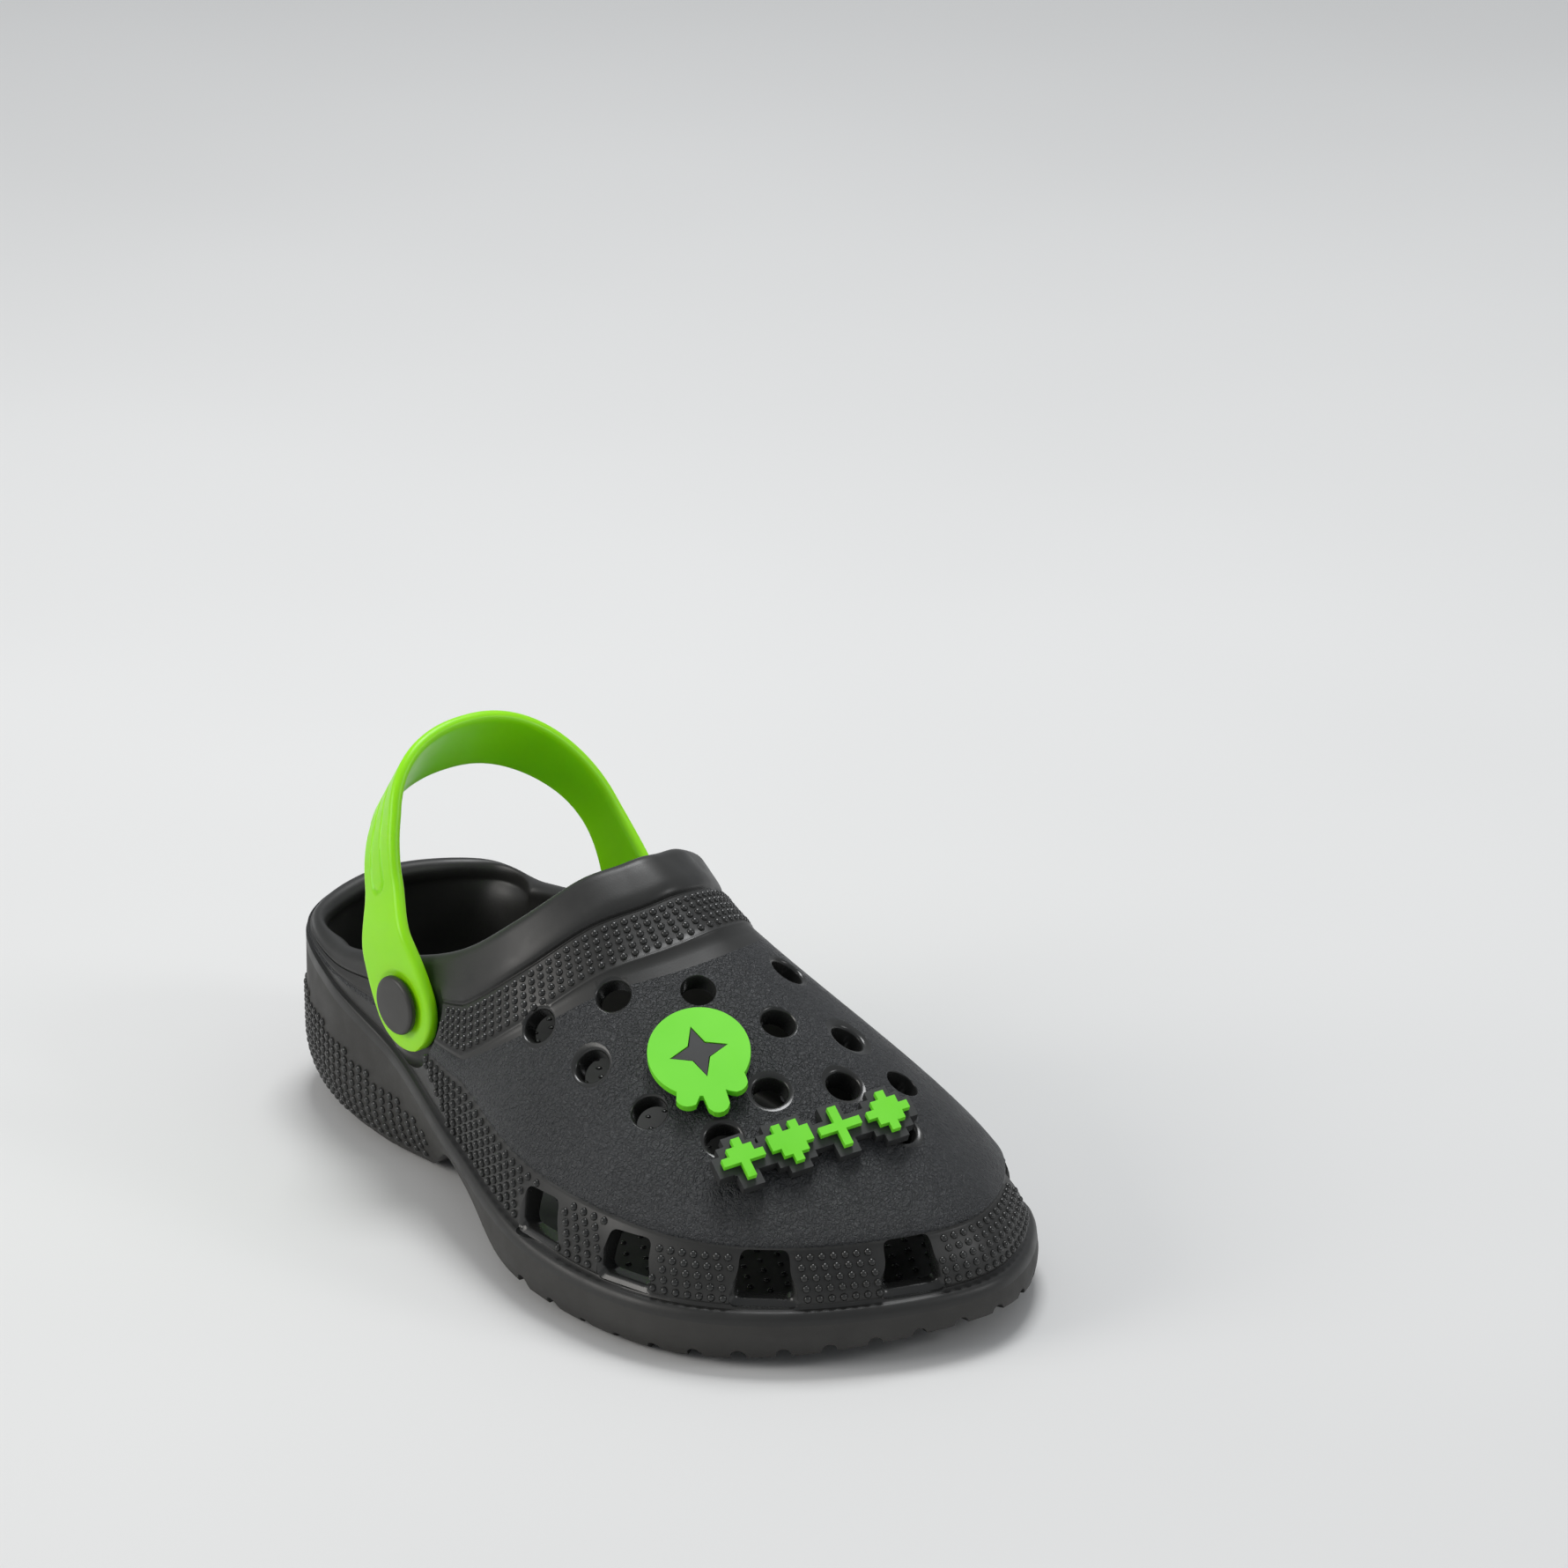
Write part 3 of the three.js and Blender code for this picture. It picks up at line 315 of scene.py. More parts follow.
class Shell:
    """The columns of the clog's wall: its outline, directions and the curves of each column."""

    def __init__(self, columns):
        rows = outline_columns(columns)
        self.n = columns
        self.x, self.lip = rows[:, 0], rows[:, 2]
        before, after = np.roll(rows, 1, 0), np.roll(rows, -1, 0)
        flat = np.zeros(columns)
        self.out = -unit(np.stack([after[:, 1] - before[:, 1], before[:, 0] - after[:, 0], flat], 1))
        self.heel = np.clip((self.lip - LIP_LOW) / (LIP_HIGH - LIP_LOW), 0, 1)
        self.edge = np.stack([rows[:, 0], rows[:, 1], flat], 1)
        self.ledge = lerp(LEDGE_FRONT, LEDGE_HEEL, self.heel)
        foot = with_z(self.edge - self.out * self.ledge[:, None], self.lip + 0.3)
        inward = rows[:, 3:] - foot
        rise = rows[:, 5] - self.lip
        inward[:, 2] = 0
        across = np.linalg.norm(inward, axis=1)
        inward = unit(inward)
        slope = np.arctan2(rise, across)
        self.uphill = with_z(inward * np.cos(slope)[:, None], np.sin(slope))
        self.normal = with_z(-inward * np.sin(slope)[:, None], np.cos(slope))
        handle = (0.4 * np.hypot(across, rise))[:, None]
        lift = lerp(20, 0.4 * rise, self.heel)
        up = np.array([0, 0, 1.0])
        self.rim = rows[:, 3:] - self.uphill * RIM_SETBACK
        self.outer = np.stack([
            foot,
            foot + self.out * 0.6 + lift[:, None] * up,
            self.rim - self.uphill * handle,
            self.rim,
        ])
        floor = footbed_height(self.x) + 3
        inner_foot = with_z(foot - self.out * (WALL + 2 * self.heel)[:, None], floor)
        inner_rim = self.rim - self.normal * RIM_THICKNESS
        self.inner = np.stack([
            inner_foot,
            inner_foot + (self.lip - floor + lift * 0.9 - 2)[:, None] * up,
            inner_rim - self.uphill * handle * 0.95,
            inner_rim,
        ])
        self.track = bezier(self.outer, np.linspace(0, 1, 81))
        steps = np.linalg.norm(np.diff(self.track, axis=0), axis=2)
        self.lengths = np.concatenate([np.zeros((1, columns)), np.cumsum(steps, axis=0)])
        self.total = self.lengths[-1]
        self.scale = np.minimum(1, self.total / FULL_LENGTH)
        self.relief = smooth((self.total - 18) / 30)
        self.band = lerp(BAND_SIDE, BAND_TOE, smooth((self.x - 165) / 60))

    def at(self, s):
        """Point and outward direction of the outer wall at a distance s from the lip, per column."""
        place = np.empty((self.n, 3))
        along = np.empty((self.n, 3))
        for j in range(self.n):
            t = np.interp(s[j], self.lengths[:, j], np.arange(81))
            i = min(79, int(t))
            a, b = self.track[i, j], self.track[i + 1, j]
            place[j] = a + (b - a) * (t - i)
            along[j] = b - a
        along = unit(along)
        side = unit(np.stack([-along[:, 1], along[:, 0], np.zeros(self.n)], 1))
        away = unit(np.cross(along, side))
        flip = np.sum(away * (self.normal + self.out), axis=1) < 0
        away[flip] *= -1
        return place, away


def wall_rows(shell):
    """Distances from the lip and heights of the outer wall's rows, from the band up to the rim."""
    total, scale, band = shell.total, shell.scale, shell.band
    rows = [(0.35 * scale, -0.45), (0.8 * scale, -0.25), (1.3 * scale, 0)]
    for t in np.linspace(0.15, 0.97, 9):
        rows.append((band * t * scale, 0))
    for t in np.linspace(0, 1, 5):
        rows.append(((band + 1.1 * t) * scale, BAND_STEP * smooth(t)))
    start = (band + 1.1) * scale
    ridge_low = total - (COLLAR_BAND + RIDGE_WIDTH) * scale
    for t in np.linspace(0, 1, 30)[1:]:
        rows.append((lerp(start, ridge_low, t), BAND_STEP * (1 - t * t)))
    for t in (0.25, 0.5, 0.75, 1):
        rows.append((ridge_low + RIDGE_WIDTH * t * scale, RIDGE_HEIGHT * math.sin(math.pi * t)))
    groove_low = COLLAR_ROLL + GROOVE_WIDTH
    for t in np.linspace(0, 1, 8)[1:]:
        rows.append((total - lerp(COLLAR_BAND, groove_low, t) * scale, 0))
    for t in np.linspace(0, 1, 8)[1:]:
        depth = GROOVE_DEPTH * math.sin(math.pi * t) ** 1.5 if t < 1 else 0
        rows.append((total - (groove_low - GROOVE_WIDTH * t) * scale, -depth))
    for t in np.linspace(0, 1, 10)[1:-1]:
        bulge = 0.7 * math.sin(math.pi * min(1, t * 0.5 + 0.5)) ** 0.8
        grow = math.sin(math.pi / 2 * min(1, t * 3))
        rows.append((total - COLLAR_ROLL * (1 - t) * scale, bulge * grow))
    return rows


def footbed_height(x):
    """Height of the footbed, which falls from the heel to the forefoot."""
    return lerp(FOOTBED_HEEL, FOOTBED_TOE, smooth((x - FOOTBED_FALL_START) / FOOTBED_FALL_LENGTH))


def waist_pinch(shell, z):
    """How far the waist is drawn in below the lip, between the heel block and the forefoot."""
    behind = smooth((shell.x - PINCH_START) / PINCH_GROWTH)
    drawn = WAIST_PINCH * behind * smooth((PINCH_END - shell.x) / PINCH_FADE)
    return drawn * np.clip(1 - z / (shell.lip - LIP_ROUND), 0, 1) ** PINCH_POWER


def sole_edge(heel):
    """How far the sole's rounded lower edge reaches in and up."""
    return SOLE_TUCK * lerp(1, SOLE_TUCK_HEEL, heel), SOLE_ROUND * lerp(1, SOLE_ROUND_HEEL, heel)


def clog_rings(shell):
    """Rings of the closed skin, from the sole's underside up and over to the footbed."""
    edge, out, lip = shell.edge, shell.out, shell.lip

    def at(inset, z):
        return with_z(edge - out * (waist_pinch(shell, z) + inset)[:, None], z)

    tuck, tall = sole_edge(shell.heel)
    rings = []
    for degrees in np.linspace(0, 90, 10):
        a = math.radians(degrees)
        rings.append(at(tuck * (1 - math.sin(a)), tall * (1 - math.cos(a))))
    # The smooth strip under the lip steps in a little as it rises.
    for t in (0.3, 0.6, 1):
        rings.append(at(STRIP_INSET * t, lerp(tall, lip - LIP_ROUND, t)))
    for degrees in (20, 45, 70, 90):
        a = math.radians(degrees)
        inset = STRIP_INSET + (shell.ledge - LEDGE_HEEL) * (1 - math.cos(a))
        rings.append(at(inset, lip - LIP_ROUND + LIP_ROUND * math.sin(a)))
    rings.append(at(shell.ledge - 0.2, lip + 0.15))
    for s, height in wall_rows(shell):
        place, away = shell.at(s)
        rings.append(place + away * (height * np.maximum(shell.relief, 0.35))[:, None])
    half = RIM_THICKNESS / 2
    first_roll = len(rings)
    for degrees in np.linspace(0, 180, 13):
        a = math.radians(degrees)
        down = shell.normal * (half - half * math.cos(a))
        rings.append(shell.rim - down + shell.uphill * half * math.sin(a))
    rings += list(bezier(shell.inner, np.linspace(1, 0, 17)[1:]))
    inner_foot = shell.inner[0]
    for degrees in (30, 60, 90):
        a = math.radians(degrees)
        rings.append(with_z(inner_foot - out * 3 * (1 - math.cos(a)), inner_foot[:, 2] - 3 * math.sin(a)))
    return rings, first_roll


SHELL = Shell(COLUMNS)
RINGS, FIRST_ROLL = clog_rings(SHELL)
# Counts of rings from the underside: the sole's material (its warm tone a painted floor reflection), the
# upper, and the vamp's grain.
SOLE_RINGS, UPPER_FIRST_RING, GRAIN_FIRST_RING, GRAIN_RINGS = 12, 15, 32, 29
UPPER = np.concatenate(RINGS[UPPER_FIRST_RING:FIRST_ROLL])


def seat(x, y, radius):
    """The point and normal of the upper over a place on the plan, from a plane through its neighbours."""
    near = UPPER[np.hypot(UPPER[:, 0] - x, UPPER[:, 1] - y) < radius]
    a = np.stack([near[:, 0] - x, near[:, 1] - y, np.ones(len(near))], 1)
    (gx, gy, z), *_ = np.linalg.lstsq(a, near[:, 2], rcond=None)
    close = near[np.hypot(near[:, 0] - x, near[:, 1] - y) < 1.6]
    height = close[:, 2].mean() if len(close) else z
    return np.array([x, y, height]), unit(np.array([-gx, -gy, 1.0]))


def turned(points, place, normal, towards):
    """Points moved so that +Z lies along a normal and +X nearly along a chosen direction."""
    x = unit(towards - normal * np.dot(towards, normal))
    return np.asarray(points) @ np.stack([x, np.cross(normal, x), normal]) + place


def underside(x):
    """Height of the sole's underside above the floor."""
    heel = HEEL_BEVEL * np.clip(1 - x / 20, 0, 1) ** 2
    toe = TOE_SPRING * np.clip((x - TOE_SPRING_START) / (CLOG_LENGTH - TOE_SPRING_START), 0, 1) ** 2
    rear = smooth((x - WAIST_START) / (WAIST_TOP - WAIST_START))
    front = np.clip((WAIST_END - x) / (WAIST_END - WAIST_TOP), 0, 1) ** WAIST_FALL_POWER
    return heel + toe + WAIST_RISE * np.minimum(rear, front)


# ---- Materials -------------------------------------------------------------------------------

def new_material(name):
    m = bpy.data.materials.new(name)
    m.use_nodes = True
    return m, m.node_tree, m.node_tree.nodes["Principled BSDF"]


def node(tree, kind, **values):
    made = tree.nodes.new(kind)
    for key, value in values.items():
        if key in made.inputs:
            made.inputs[key].default_value = value
        else:
            setattr(made, key, value)
    return made


def noise(tree, coordinates, scale, detail=3.0, roughness=0.5):
    made = node(tree, "ShaderNodeTexNoise", Scale=scale, Detail=detail, Roughness=roughness)
    tree.links.new(coordinates, made.inputs["Vector"])
    return made


def ramp(tree, factor, stops):
    made = node(tree, "ShaderNodeValToRGB")
    elements = made.color_ramp.elements
    while len(elements) < len(stops):
        elements.new(0.5)
    for element, (position, colour) in zip(elements, stops):
        element.position = position
        element.color = colour
    tree.links.new(factor, made.inputs["Fac"])
    return made


def bump(tree, height, strength, distance, before=None):
    made = node(tree, "ShaderNodeBump", Strength=strength, Distance=distance)
    tree.links.new(height, made.inputs["Height"])
    if before is not None:
        tree.links.new(before, made.inputs["Normal"])
    return made.outputs["Normal"]


def colour(red, green, blue):
    """Linear RGBA from an sRGB colour of 0 to 255."""
    linear = []
    for c in (red, green, blue):
        c = min(1.0, c / 255)
        linear.append(c / 12.92 if c <= 0.04045 else ((c + 0.055) / 1.055) ** 2.4)
    return (*linear, 1.0)


def rubber(name, dark, light, roughness, grain=0.0, fine=0.1, specular=0.5):
    """Moulded rubber or foam: cloudy colour, uneven gloss, fine pores and, where asked, leather grain."""
    m, tree, shader = new_material(name)
    where = node(tree, "ShaderNodeTexCoord").outputs["Object"]
    cloud = noise(tree, where, 38.0, 4.0)
    tone = ramp(tree, cloud.outputs["Fac"], [(0.3, dark), (0.7, light)])
    tree.links.new(tone.outputs["Color"], shader.inputs["Base Color"])
    gloss = noise(tree, where, 160.0, 3.0)
    spread = ramp(tree, gloss.outputs["Fac"], [
        (0.3, (roughness - 0.05,) * 3 + (1,)),
        (0.7, (roughness + 0.06,) * 3 + (1,)),
    ])
    tree.links.new(spread.outputs["Color"], shader.inputs["Roughness"])
    shader.inputs["Specular IOR Level"].default_value = specular
    pores = noise(tree, where, 2600.0, 2.0)
    normal = bump(tree, pores.outputs["Fac"], fine, 0.0001)
    if grain > 0:
        wobble = noise(tree, where, 420.0, 3.0)
        mix = node(tree, "ShaderNodeMix", data_type="VECTOR")
        mix.inputs["Factor"].default_value = 0.0022
        tree.links.new(where, mix.inputs[4])
        tree.links.new(wobble.outputs["Color"], mix.inputs[5])
        cells = node(tree, "ShaderNodeTexVoronoi", feature="DISTANCE_TO_EDGE", Scale=900.0)
        tree.links.new(mix.outputs[1], cells.inputs["Vector"])
        crease = ramp(tree, cells.outputs["Distance"], [(0.0, (0, 0, 0, 1)), (0.16, (1, 1, 1, 1))])
        normal = bump(tree, crease.outputs["Color"], grain * 0.8, 0.0003, normal)
        folds = noise(tree, where, 620.0, 4.0, 0.65)
        normal = bump(tree, folds.outputs["Fac"], grain, 0.0009, normal)
    tree.links.new(normal, shader.inputs["Normal"])
    return m


def scatter_light(material, weight, radius, scale):
    """Lets some light scatter under the surface, as in thin bright rubber."""
    shader = material.node_tree.nodes["Principled BSDF"]
    shader.inputs["Subsurface Weight"].default_value = weight
    shader.inputs["Subsurface Radius"].default_value = radius
    shader.inputs["Subsurface Scale"].default_value = scale


CHARCOAL_SMOOTH = rubber("charcoal_smooth", colour(33, 33, 32), colour(40, 40, 38), 0.42, fine=0.15)
CHARCOAL_GRAIN = rubber("charcoal_grain", colour(34, 36, 38), colour(42, 44, 46), 0.42, grain=1.0, fine=0.15)
# The sole's rubber: its lighter, warmer brown-grey tone is a painted reflection of the pale floor on the
# lower side; its higher roughness is the rubber's own.
CHARCOAL_SOLE_PAINTED_REFLECTION = rubber("charcoal_sole_painted_reflection", colour(44, 43, 41), colour(53, 52, 49), 0.6, fine=0.35)
CHARCOAL_GLOSS = rubber("charcoal_gloss", colour(38, 38, 37), colour(44, 45, 44), 0.24, fine=0.1)
STRAP_GREEN = rubber("strap_green", colour(144, 226, 6), colour(152, 232, 10), 0.36, fine=0.08, specular=0.4)
scatter_light(STRAP_GREEN, 0.45, (0.8, 1.0, 0.1), 0.006)
RIVET_DARK = rubber("rivet_dark", colour(46, 46, 44), colour(54, 53, 51), 0.42, fine=0.12)
CHARM_GREEN = rubber("charm_green", colour(112, 222, 40), colour(122, 230, 50), 0.4, fine=0.06, specular=0.4)
CHARM_DARK = rubber("charm_dark", colour(40, 41, 41), colour(48, 49, 49), 0.5, fine=0.15)


# ---- Clog body -------------------------------------------------------------------------------

BODY_MATERIALS = [CHARCOAL_SMOOTH, CHARCOAL_GRAIN, CHARCOAL_SOLE_PAINTED_REFLECTION, CHARCOAL_GLOSS]
GLOSS_SLOT = BODY_MATERIALS.index(CHARCOAL_GLOSS)


def body_skin():
    """The closed skin of the clog, with the leather grain on its vamp."""
    n = SHELL.n
    faces = ring_faces(len(RINGS), n)
    last = (len(RINGS) - 1) * n
    for j in range(n // 2):
        left, left_next, right, right_next = j, j + 1, (n - j) % n, n - j - 1
        lowest = (0, (left, left_next, right_next, right))
        footbed = (last, (left, right, right_next, left_next))
        for shift, order in (lowest, footbed):
            corners = list(dict.fromkeys(shift + i for i in order))
            if len(corners) > 2:
                faces.append(corners)
    made = mesh_object("clog_shell", np.concatenate(RINGS), faces, BODY_MATERIALS)
    slots = np.zeros(len(faces), int)
    slots[GRAIN_FIRST_RING * n:(GRAIN_FIRST_RING + GRAIN_RINGS) * n] = BODY_MATERIALS.index(CHARCOAL_GRAIN)
    # The sole's rings take the sole's material, whose warm tone is a painted floor reflection.
    slots[:SOLE_RINGS * n] = BODY_MATERIALS.index(CHARCOAL_SOLE_PAINTED_REFLECTION)
    made.data.polygons.foreach_set("material_index", slots)
    return made


def along_y(points, y, side):
    """Turned points stood along Y, their +Z pointing to one side of the clog, on the pivot."""
    points = np.asarray(points, float)
    return np.stack([points[:, 0] + PIVOT_X, y + side * points[:, 2], PIVOT_Z - side * points[:, 1]], 1)


def cylinder_y(x, z, radius, low, high, steps=64):
    """A cylinder along Y."""
    points, faces = lathe([(0, low), (radius, low), (radius, high), (0, high)], steps)
    return np.stack([points[:, 0] + x, points[:, 2], z - points[:, 1]], 1), faces


def seat_pocket(face, side):
    """The flat that the strap's end turns on, whose edge flares softly into the wall round it."""
    radius, fillet = SEAT_RADIUS + SEAT_CLEARANCE, SEAT_FILLET
    profile = [(0, 0), (radius, 0)]
    for degrees in np.linspace(20, 80, 5):
        a = math.radians(degrees)
        profile.append((radius + fillet * math.sin(a), fillet * (1 - math.cos(a))))
    profile += [(radius + fillet + 1.2, 14), (0, 14)]
    points, faces = lathe(profile, 96)
    return along_y(points, face, side), faces


def vent_cutter(x, y):
    """A hole through the upper whose mouth flares softly into the surface."""
    place, normal = seat(x, y, 4.6)
    profile = [(0, -13), (VENT_RADIUS + 0.9, -13), (VENT_RADIUS + 0.3, -6.5), (VENT_RADIUS, -5)]
    for degrees in np.linspace(0, 80, 7):
        a = math.radians(degrees)
        profile.append((VENT_RADIUS + VENT_LIP * (1 - math.cos(a)), -VENT_LIP * (1 - math.sin(a))))
    profile += [(VENT_RADIUS + VENT_LIP + 1.4, 0.45), (VENT_RADIUS + VENT_LIP + 1.4, 6), (0, 6)]
    points, faces = lathe(profile, 40)
    return turned(points, place, normal, np.array([1.0, 0, 0])), faces


def nearest_column(places, side, want):
    """The column on one side of the foot nearest an x, or round the toe nearest a y."""
    if side == 0:
        miss = np.abs(places[:, 1] - want) + np.where(places[:, 0] < TOE_FROM_X, 999, 0)
    else:
        miss = np.abs(places[:, 0] - want) + np.where(places[:, 1] * side < 0, 999, 0)
    return int(np.argmin(miss))


def window_columns():
    """The fine columns that lie where the CAD's coarser columns put its windows."""
    coarse = outline_columns(CAD_COLUMNS)
    found = []
    for side, want in WINDOWS:
        place = coarse[nearest_column(coarse, side, want)]
        aim = place[1] if side == 0 else place[0] + TIE_FORWARD
        found.append(nearest_column(SHELL.edge, side, aim))
    return found


def window_outline(grow):
    """A window's rounded outline, sideways and up from the middle of its sill."""
    half, corner, lean = WINDOW_WIDTH / 2 + grow, WINDOW_CORNER, WINDOW_LEAN
    low, high = -grow, WINDOW_HEIGHT + grow
    corners = [(half, low), (half - lean, high), (-half + lean, high), (-half, low)]
    points = []
    for i, here in enumerate(corners):
        here = np.array(here)
        before, after = np.array(corners[i - 1]), np.array(corners[(i + 1) % 4])
        start = here + unit(before - here) * corner
        end = here + unit(after - here) * corner
        for t in np.linspace(0, 1, 7):
            points.append(start * (1 - t) ** 2 + 2 * here * (1 - t) * t + end * t * t)
    return np.array(points)


def window_cutter(column):
    """A window through the side band, with a small bevel round its mouth."""
    out, edge = SHELL.out[column], SHELL.edge[column]
    sideways = np.array([-out[1], out[0], 0])
    sill = SHELL.lip[column] + WINDOW_SILL
    place, _ = SHELL.at(SHELL.lengths[0] + 7.0)
    face = np.dot(place[column] - edge, out)
    bevel = ((-1.5, 0), (-1.0, 0.1), (-0.55, 0.32), (-0.15, 0.75), (0.3, 1.5))
    rings = []
    for depth, grow in ((-15, 0.2), *((face + d, g) for d, g in bevel), (9, 1.5)):
        shape = window_outline(grow)
        rings.append(
            edge + sideways * shape[:, :1] + np.array([0, 0, 1.0]) * (shape[:, 1:] + sill) + out * depth
        )
    n = len(rings[0])
    faces = [f[::-1] for f in ring_faces(len(rings), n)]
    faces += [tuple(range(n))[::-1], tuple(range((len(rings) - 1) * n, len(rings) * n))]
    return np.concatenate(rings), faces


def sole_cutter():
    """The raised waist, the sprung toe and the bevelled heel, as one solid under the sole."""
    xs = np.concatenate([np.linspace(-20, 19, 30), np.linspace(WAIST_START, CLOG_LENGTH + 25, 90)])
    zs = underside(np.clip(xs, 0, CLOG_LENGTH + 10)) - np.where((xs >= 19) & (xs <= WAIST_START), 0.01, 0)
    outline = [(-20, -8), *zip(xs, zs), (CLOG_LENGTH + 25, -8)]
    n = len(outline)
    points = [(x, y, z) for y in (-90, 90) for x, z in outline]
    faces = [(j, (j + 1) % n, n + (j + 1) % n, n + j) for j in range(n)]
    faces += [tuple(range(n))[::-1], tuple(range(n, 2 * n))]
    return np.array(points, float), faces


def box_solid(centre, sizes):
    """An upright box about its centre."""
    around = ((-1, -1), (1, -1), (1, 1), (-1, 1))
    points = [
        centre + np.array(sizes) / 2 * (x, y, z)
        for z in (-1, 1)
        for x, y in around
    ]
    faces = [(0, 3, 2, 1), (4, 5, 6, 7), (0, 1, 5, 4), (1, 2, 6, 5), (2, 3, 7, 6), (3, 0, 4, 7)]
    return np.array(points, float), faces


def notch(centre, out):
    """A rounded notch across the sole's edge."""
    side = np.array([-out[1], out[0], 0])
    section = []
    for degrees in np.linspace(0, 180, 9):
        a = math.radians(degrees)
        section.append((NOTCH_WIDTH / 2 * math.cos(a), NOTCH_DEPTH * math.sin(a) ** 0.7))
    section += [(-NOTCH_WIDTH * 0.64, -3), (NOTCH_WIDTH * 0.64, -3)]
    n = len(section)
    points = [
        centre + out * along + side * across + np.array([0, 0, up])
        for along in (-TREAD_REACH / 2, TREAD_REACH / 2)
        for across, up in section
    ]
    faces = [(j, (j + 1) % n, n + (j + 1) % n, n + j) for j in range(n)]
    faces += [tuple(range(n))[::-1], tuple(range(n, 2 * n))]
    return np.array(points, float), faces


def edge_notches():
    """Notches across the sole's edge, round the forefoot and round the heel."""
    closed = np.concatenate([SHELL.edge, SHELL.edge[:1]])
    travelled = np.concatenate([[0], np.cumsum(np.linalg.norm(np.diff(closed, axis=0), axis=1))])
    made = []
    for due in np.arange(0, travelled[-1] - TREAD_PITCH / 2, TREAD_PITCH):
        t = np.interp(due, travelled, np.arange(len(closed)))
        i = int(t) % SHELL.n
        k = (i + 1) % SHELL.n
        place = lerp(SHELL.edge[i], SHELL.edge[k], t - int(t))
        out = unit(lerp(SHELL.out[i], SHELL.out[k], t - int(t)))
        if place[0] < NOTCHES_HEEL_END or place[0] > NOTCHES_FORE_START:
            centre = place + out * (1 - TREAD_REACH / 2)
            centre[2] = underside(centre[0])
            made.append(notch(centre, out))
    return made


def cross_grooves():
    """Straight grooves across the middle of the tread."""
    made = []
    for start, end, half, middle in GROOVES:
        for x in np.arange(start, end + 1, TREAD_PITCH):
            centre = np.array([x, middle, underside(x)])
            made.append(box_solid(centre, (TREAD_WIDTH, half * 2, TREAD_DEPTH * 2)))
    return made


def cut_all(made, name, solids, slot=0):
    """Cuts every solid from made; the new faces take the body's material of that slot."""
    tool = join_solids(name, solids, CHARCOAL_SMOOTH)
    tool.data.materials.clear()
    for m in BODY_MATERIALS:
        tool.data.materials.append(m)
    tool.data.polygons.foreach_set("material_index", [slot] * len(tool.data.polygons))
    return boolean(made, tool, "DIFFERENCE")


def clog_body():
    """The foam moulding: the skin with its bosses joined on and every opening cut."""
    body = body_skin()
    for face, side in ((SEAT_OUTER_Y, -1), (SEAT_INNER_Y, 1)):
        inside = face - side * SEAT_WALL
        low, high = min(face, inside), max(face, inside)
        boss = cylinder_y(PIVOT_X, PIVOT_Z, SEAT_RADIUS - 3.6, low, high)
        boolean(body, join_solids("boss", [boss], CHARCOAL_SMOOTH), "UNION")
        inward = (inside - 9, inside) if side > 0 else (inside, inside + 9)
        cut_all(body, "seat", [seat_pocket(face, side)])
        cut_all(body, "washer_seat", [cylinder_y(PIVOT_X, PIVOT_Z, WASHER_RADIUS + 0.6, *inward)])
        cut_all(body, "hole", [cylinder_y(PIVOT_X, PIVOT_Z, STRAP_HOLE_RADIUS, low - 3, high + 3)])
    cut_all(body, "vents", [vent_cutter(*v) for v in VENTS], GLOSS_SLOT)
    cut_all(body, "windows", [window_cutter(c) for c in window_columns()], GLOSS_SLOT)
    cut_all(body, "underside", [sole_cutter()])
    notches = edge_notches()
    cut_all(body, "notches_even", notches[::2])
    cut_all(body, "notches_odd", notches[1::2])
    cut_all(body, "grooves", cross_grooves())
    smooth_by_angle(body, 38)
    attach(body, "clog")
    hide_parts("clog_body")
    return body


# ---- Raised bumps ----------------------------------------------------------------------------

def bump_dome(radius, steps=12):
    """A low round bump whose closed foot sinks into the surface under it."""
    profile = [(0, -BUMP_ROOT), (radius, -BUMP_ROOT)]
    for degrees in (0, 25, 50, 72):
        a = math.radians(degrees)
        profile.append((radius * math.cos(a), BUMP_HEIGHT * math.sin(a)))
    profile.append((0, BUMP_HEIGHT))
    return lathe(profile, steps)


def even_columns(ring, pitch, weight=1.0):
    """Columns, as fractional numbers, that lie at an even pitch along a ring."""
    closed = np.concatenate([ring, ring[:1]])
    steps = np.linalg.norm(np.diff(closed, axis=0), axis=1) * weight
    travelled = np.concatenate([[0], np.cumsum(steps)])
    count = int(round(travelled[-1] / pitch))
    return np.interp(np.arange(count) * travelled[-1] / count, travelled, np.arange(len(closed)))


def row_places(place, away, keep, columns, sizes=None):
    """Places, directions and sizes of a row of bumps, where keep is true."""
    found = []
    for t in columns:
        j, f = int(t) % SHELL.n, t - int(t)
        k = (j + 1) % SHELL.n
        if keep[j] and keep[k]:
            size = 1.0 if sizes is None else sizes[j]
            found.append((lerp(place[j], place[k], f), unit(lerp(away[j], away[k], f)), size))
    return found


def window_gap(point, columns):
    """How far a point of the band lies outside the nearest window, or less than zero inside one."""
    nearest = 99.0
    for c in columns:
        out, edge = SHELL.out[c], SHELL.edge[c]
        sideways = np.array([-out[1], out[0], 0])
        across = abs(np.dot(point - edge, sideways)) - WINDOW_WIDTH / 2
        up = point[2] - SHELL.lip[c] - WINDOW_SILL
        deep = abs(np.dot(point - edge, out)) - WINDOW_REACH
        nearest = min(nearest, max(across, -up, up - WINDOW_HEIGHT, deep))
    return nearest


def place_bumps(name, places, radius):
    """One object of many bumps, each given by its place, direction and size."""
    points, faces = bump_dome(radius)
    towards = np.array([0.3, 1.0, 0.2])
    solids = [(turned(points * size, p, n, towards), faces) for p, n, size in places]
    made = join_solids(name, solids, CHARCOAL_GLOSS)
    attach(made, "clog")
    return made


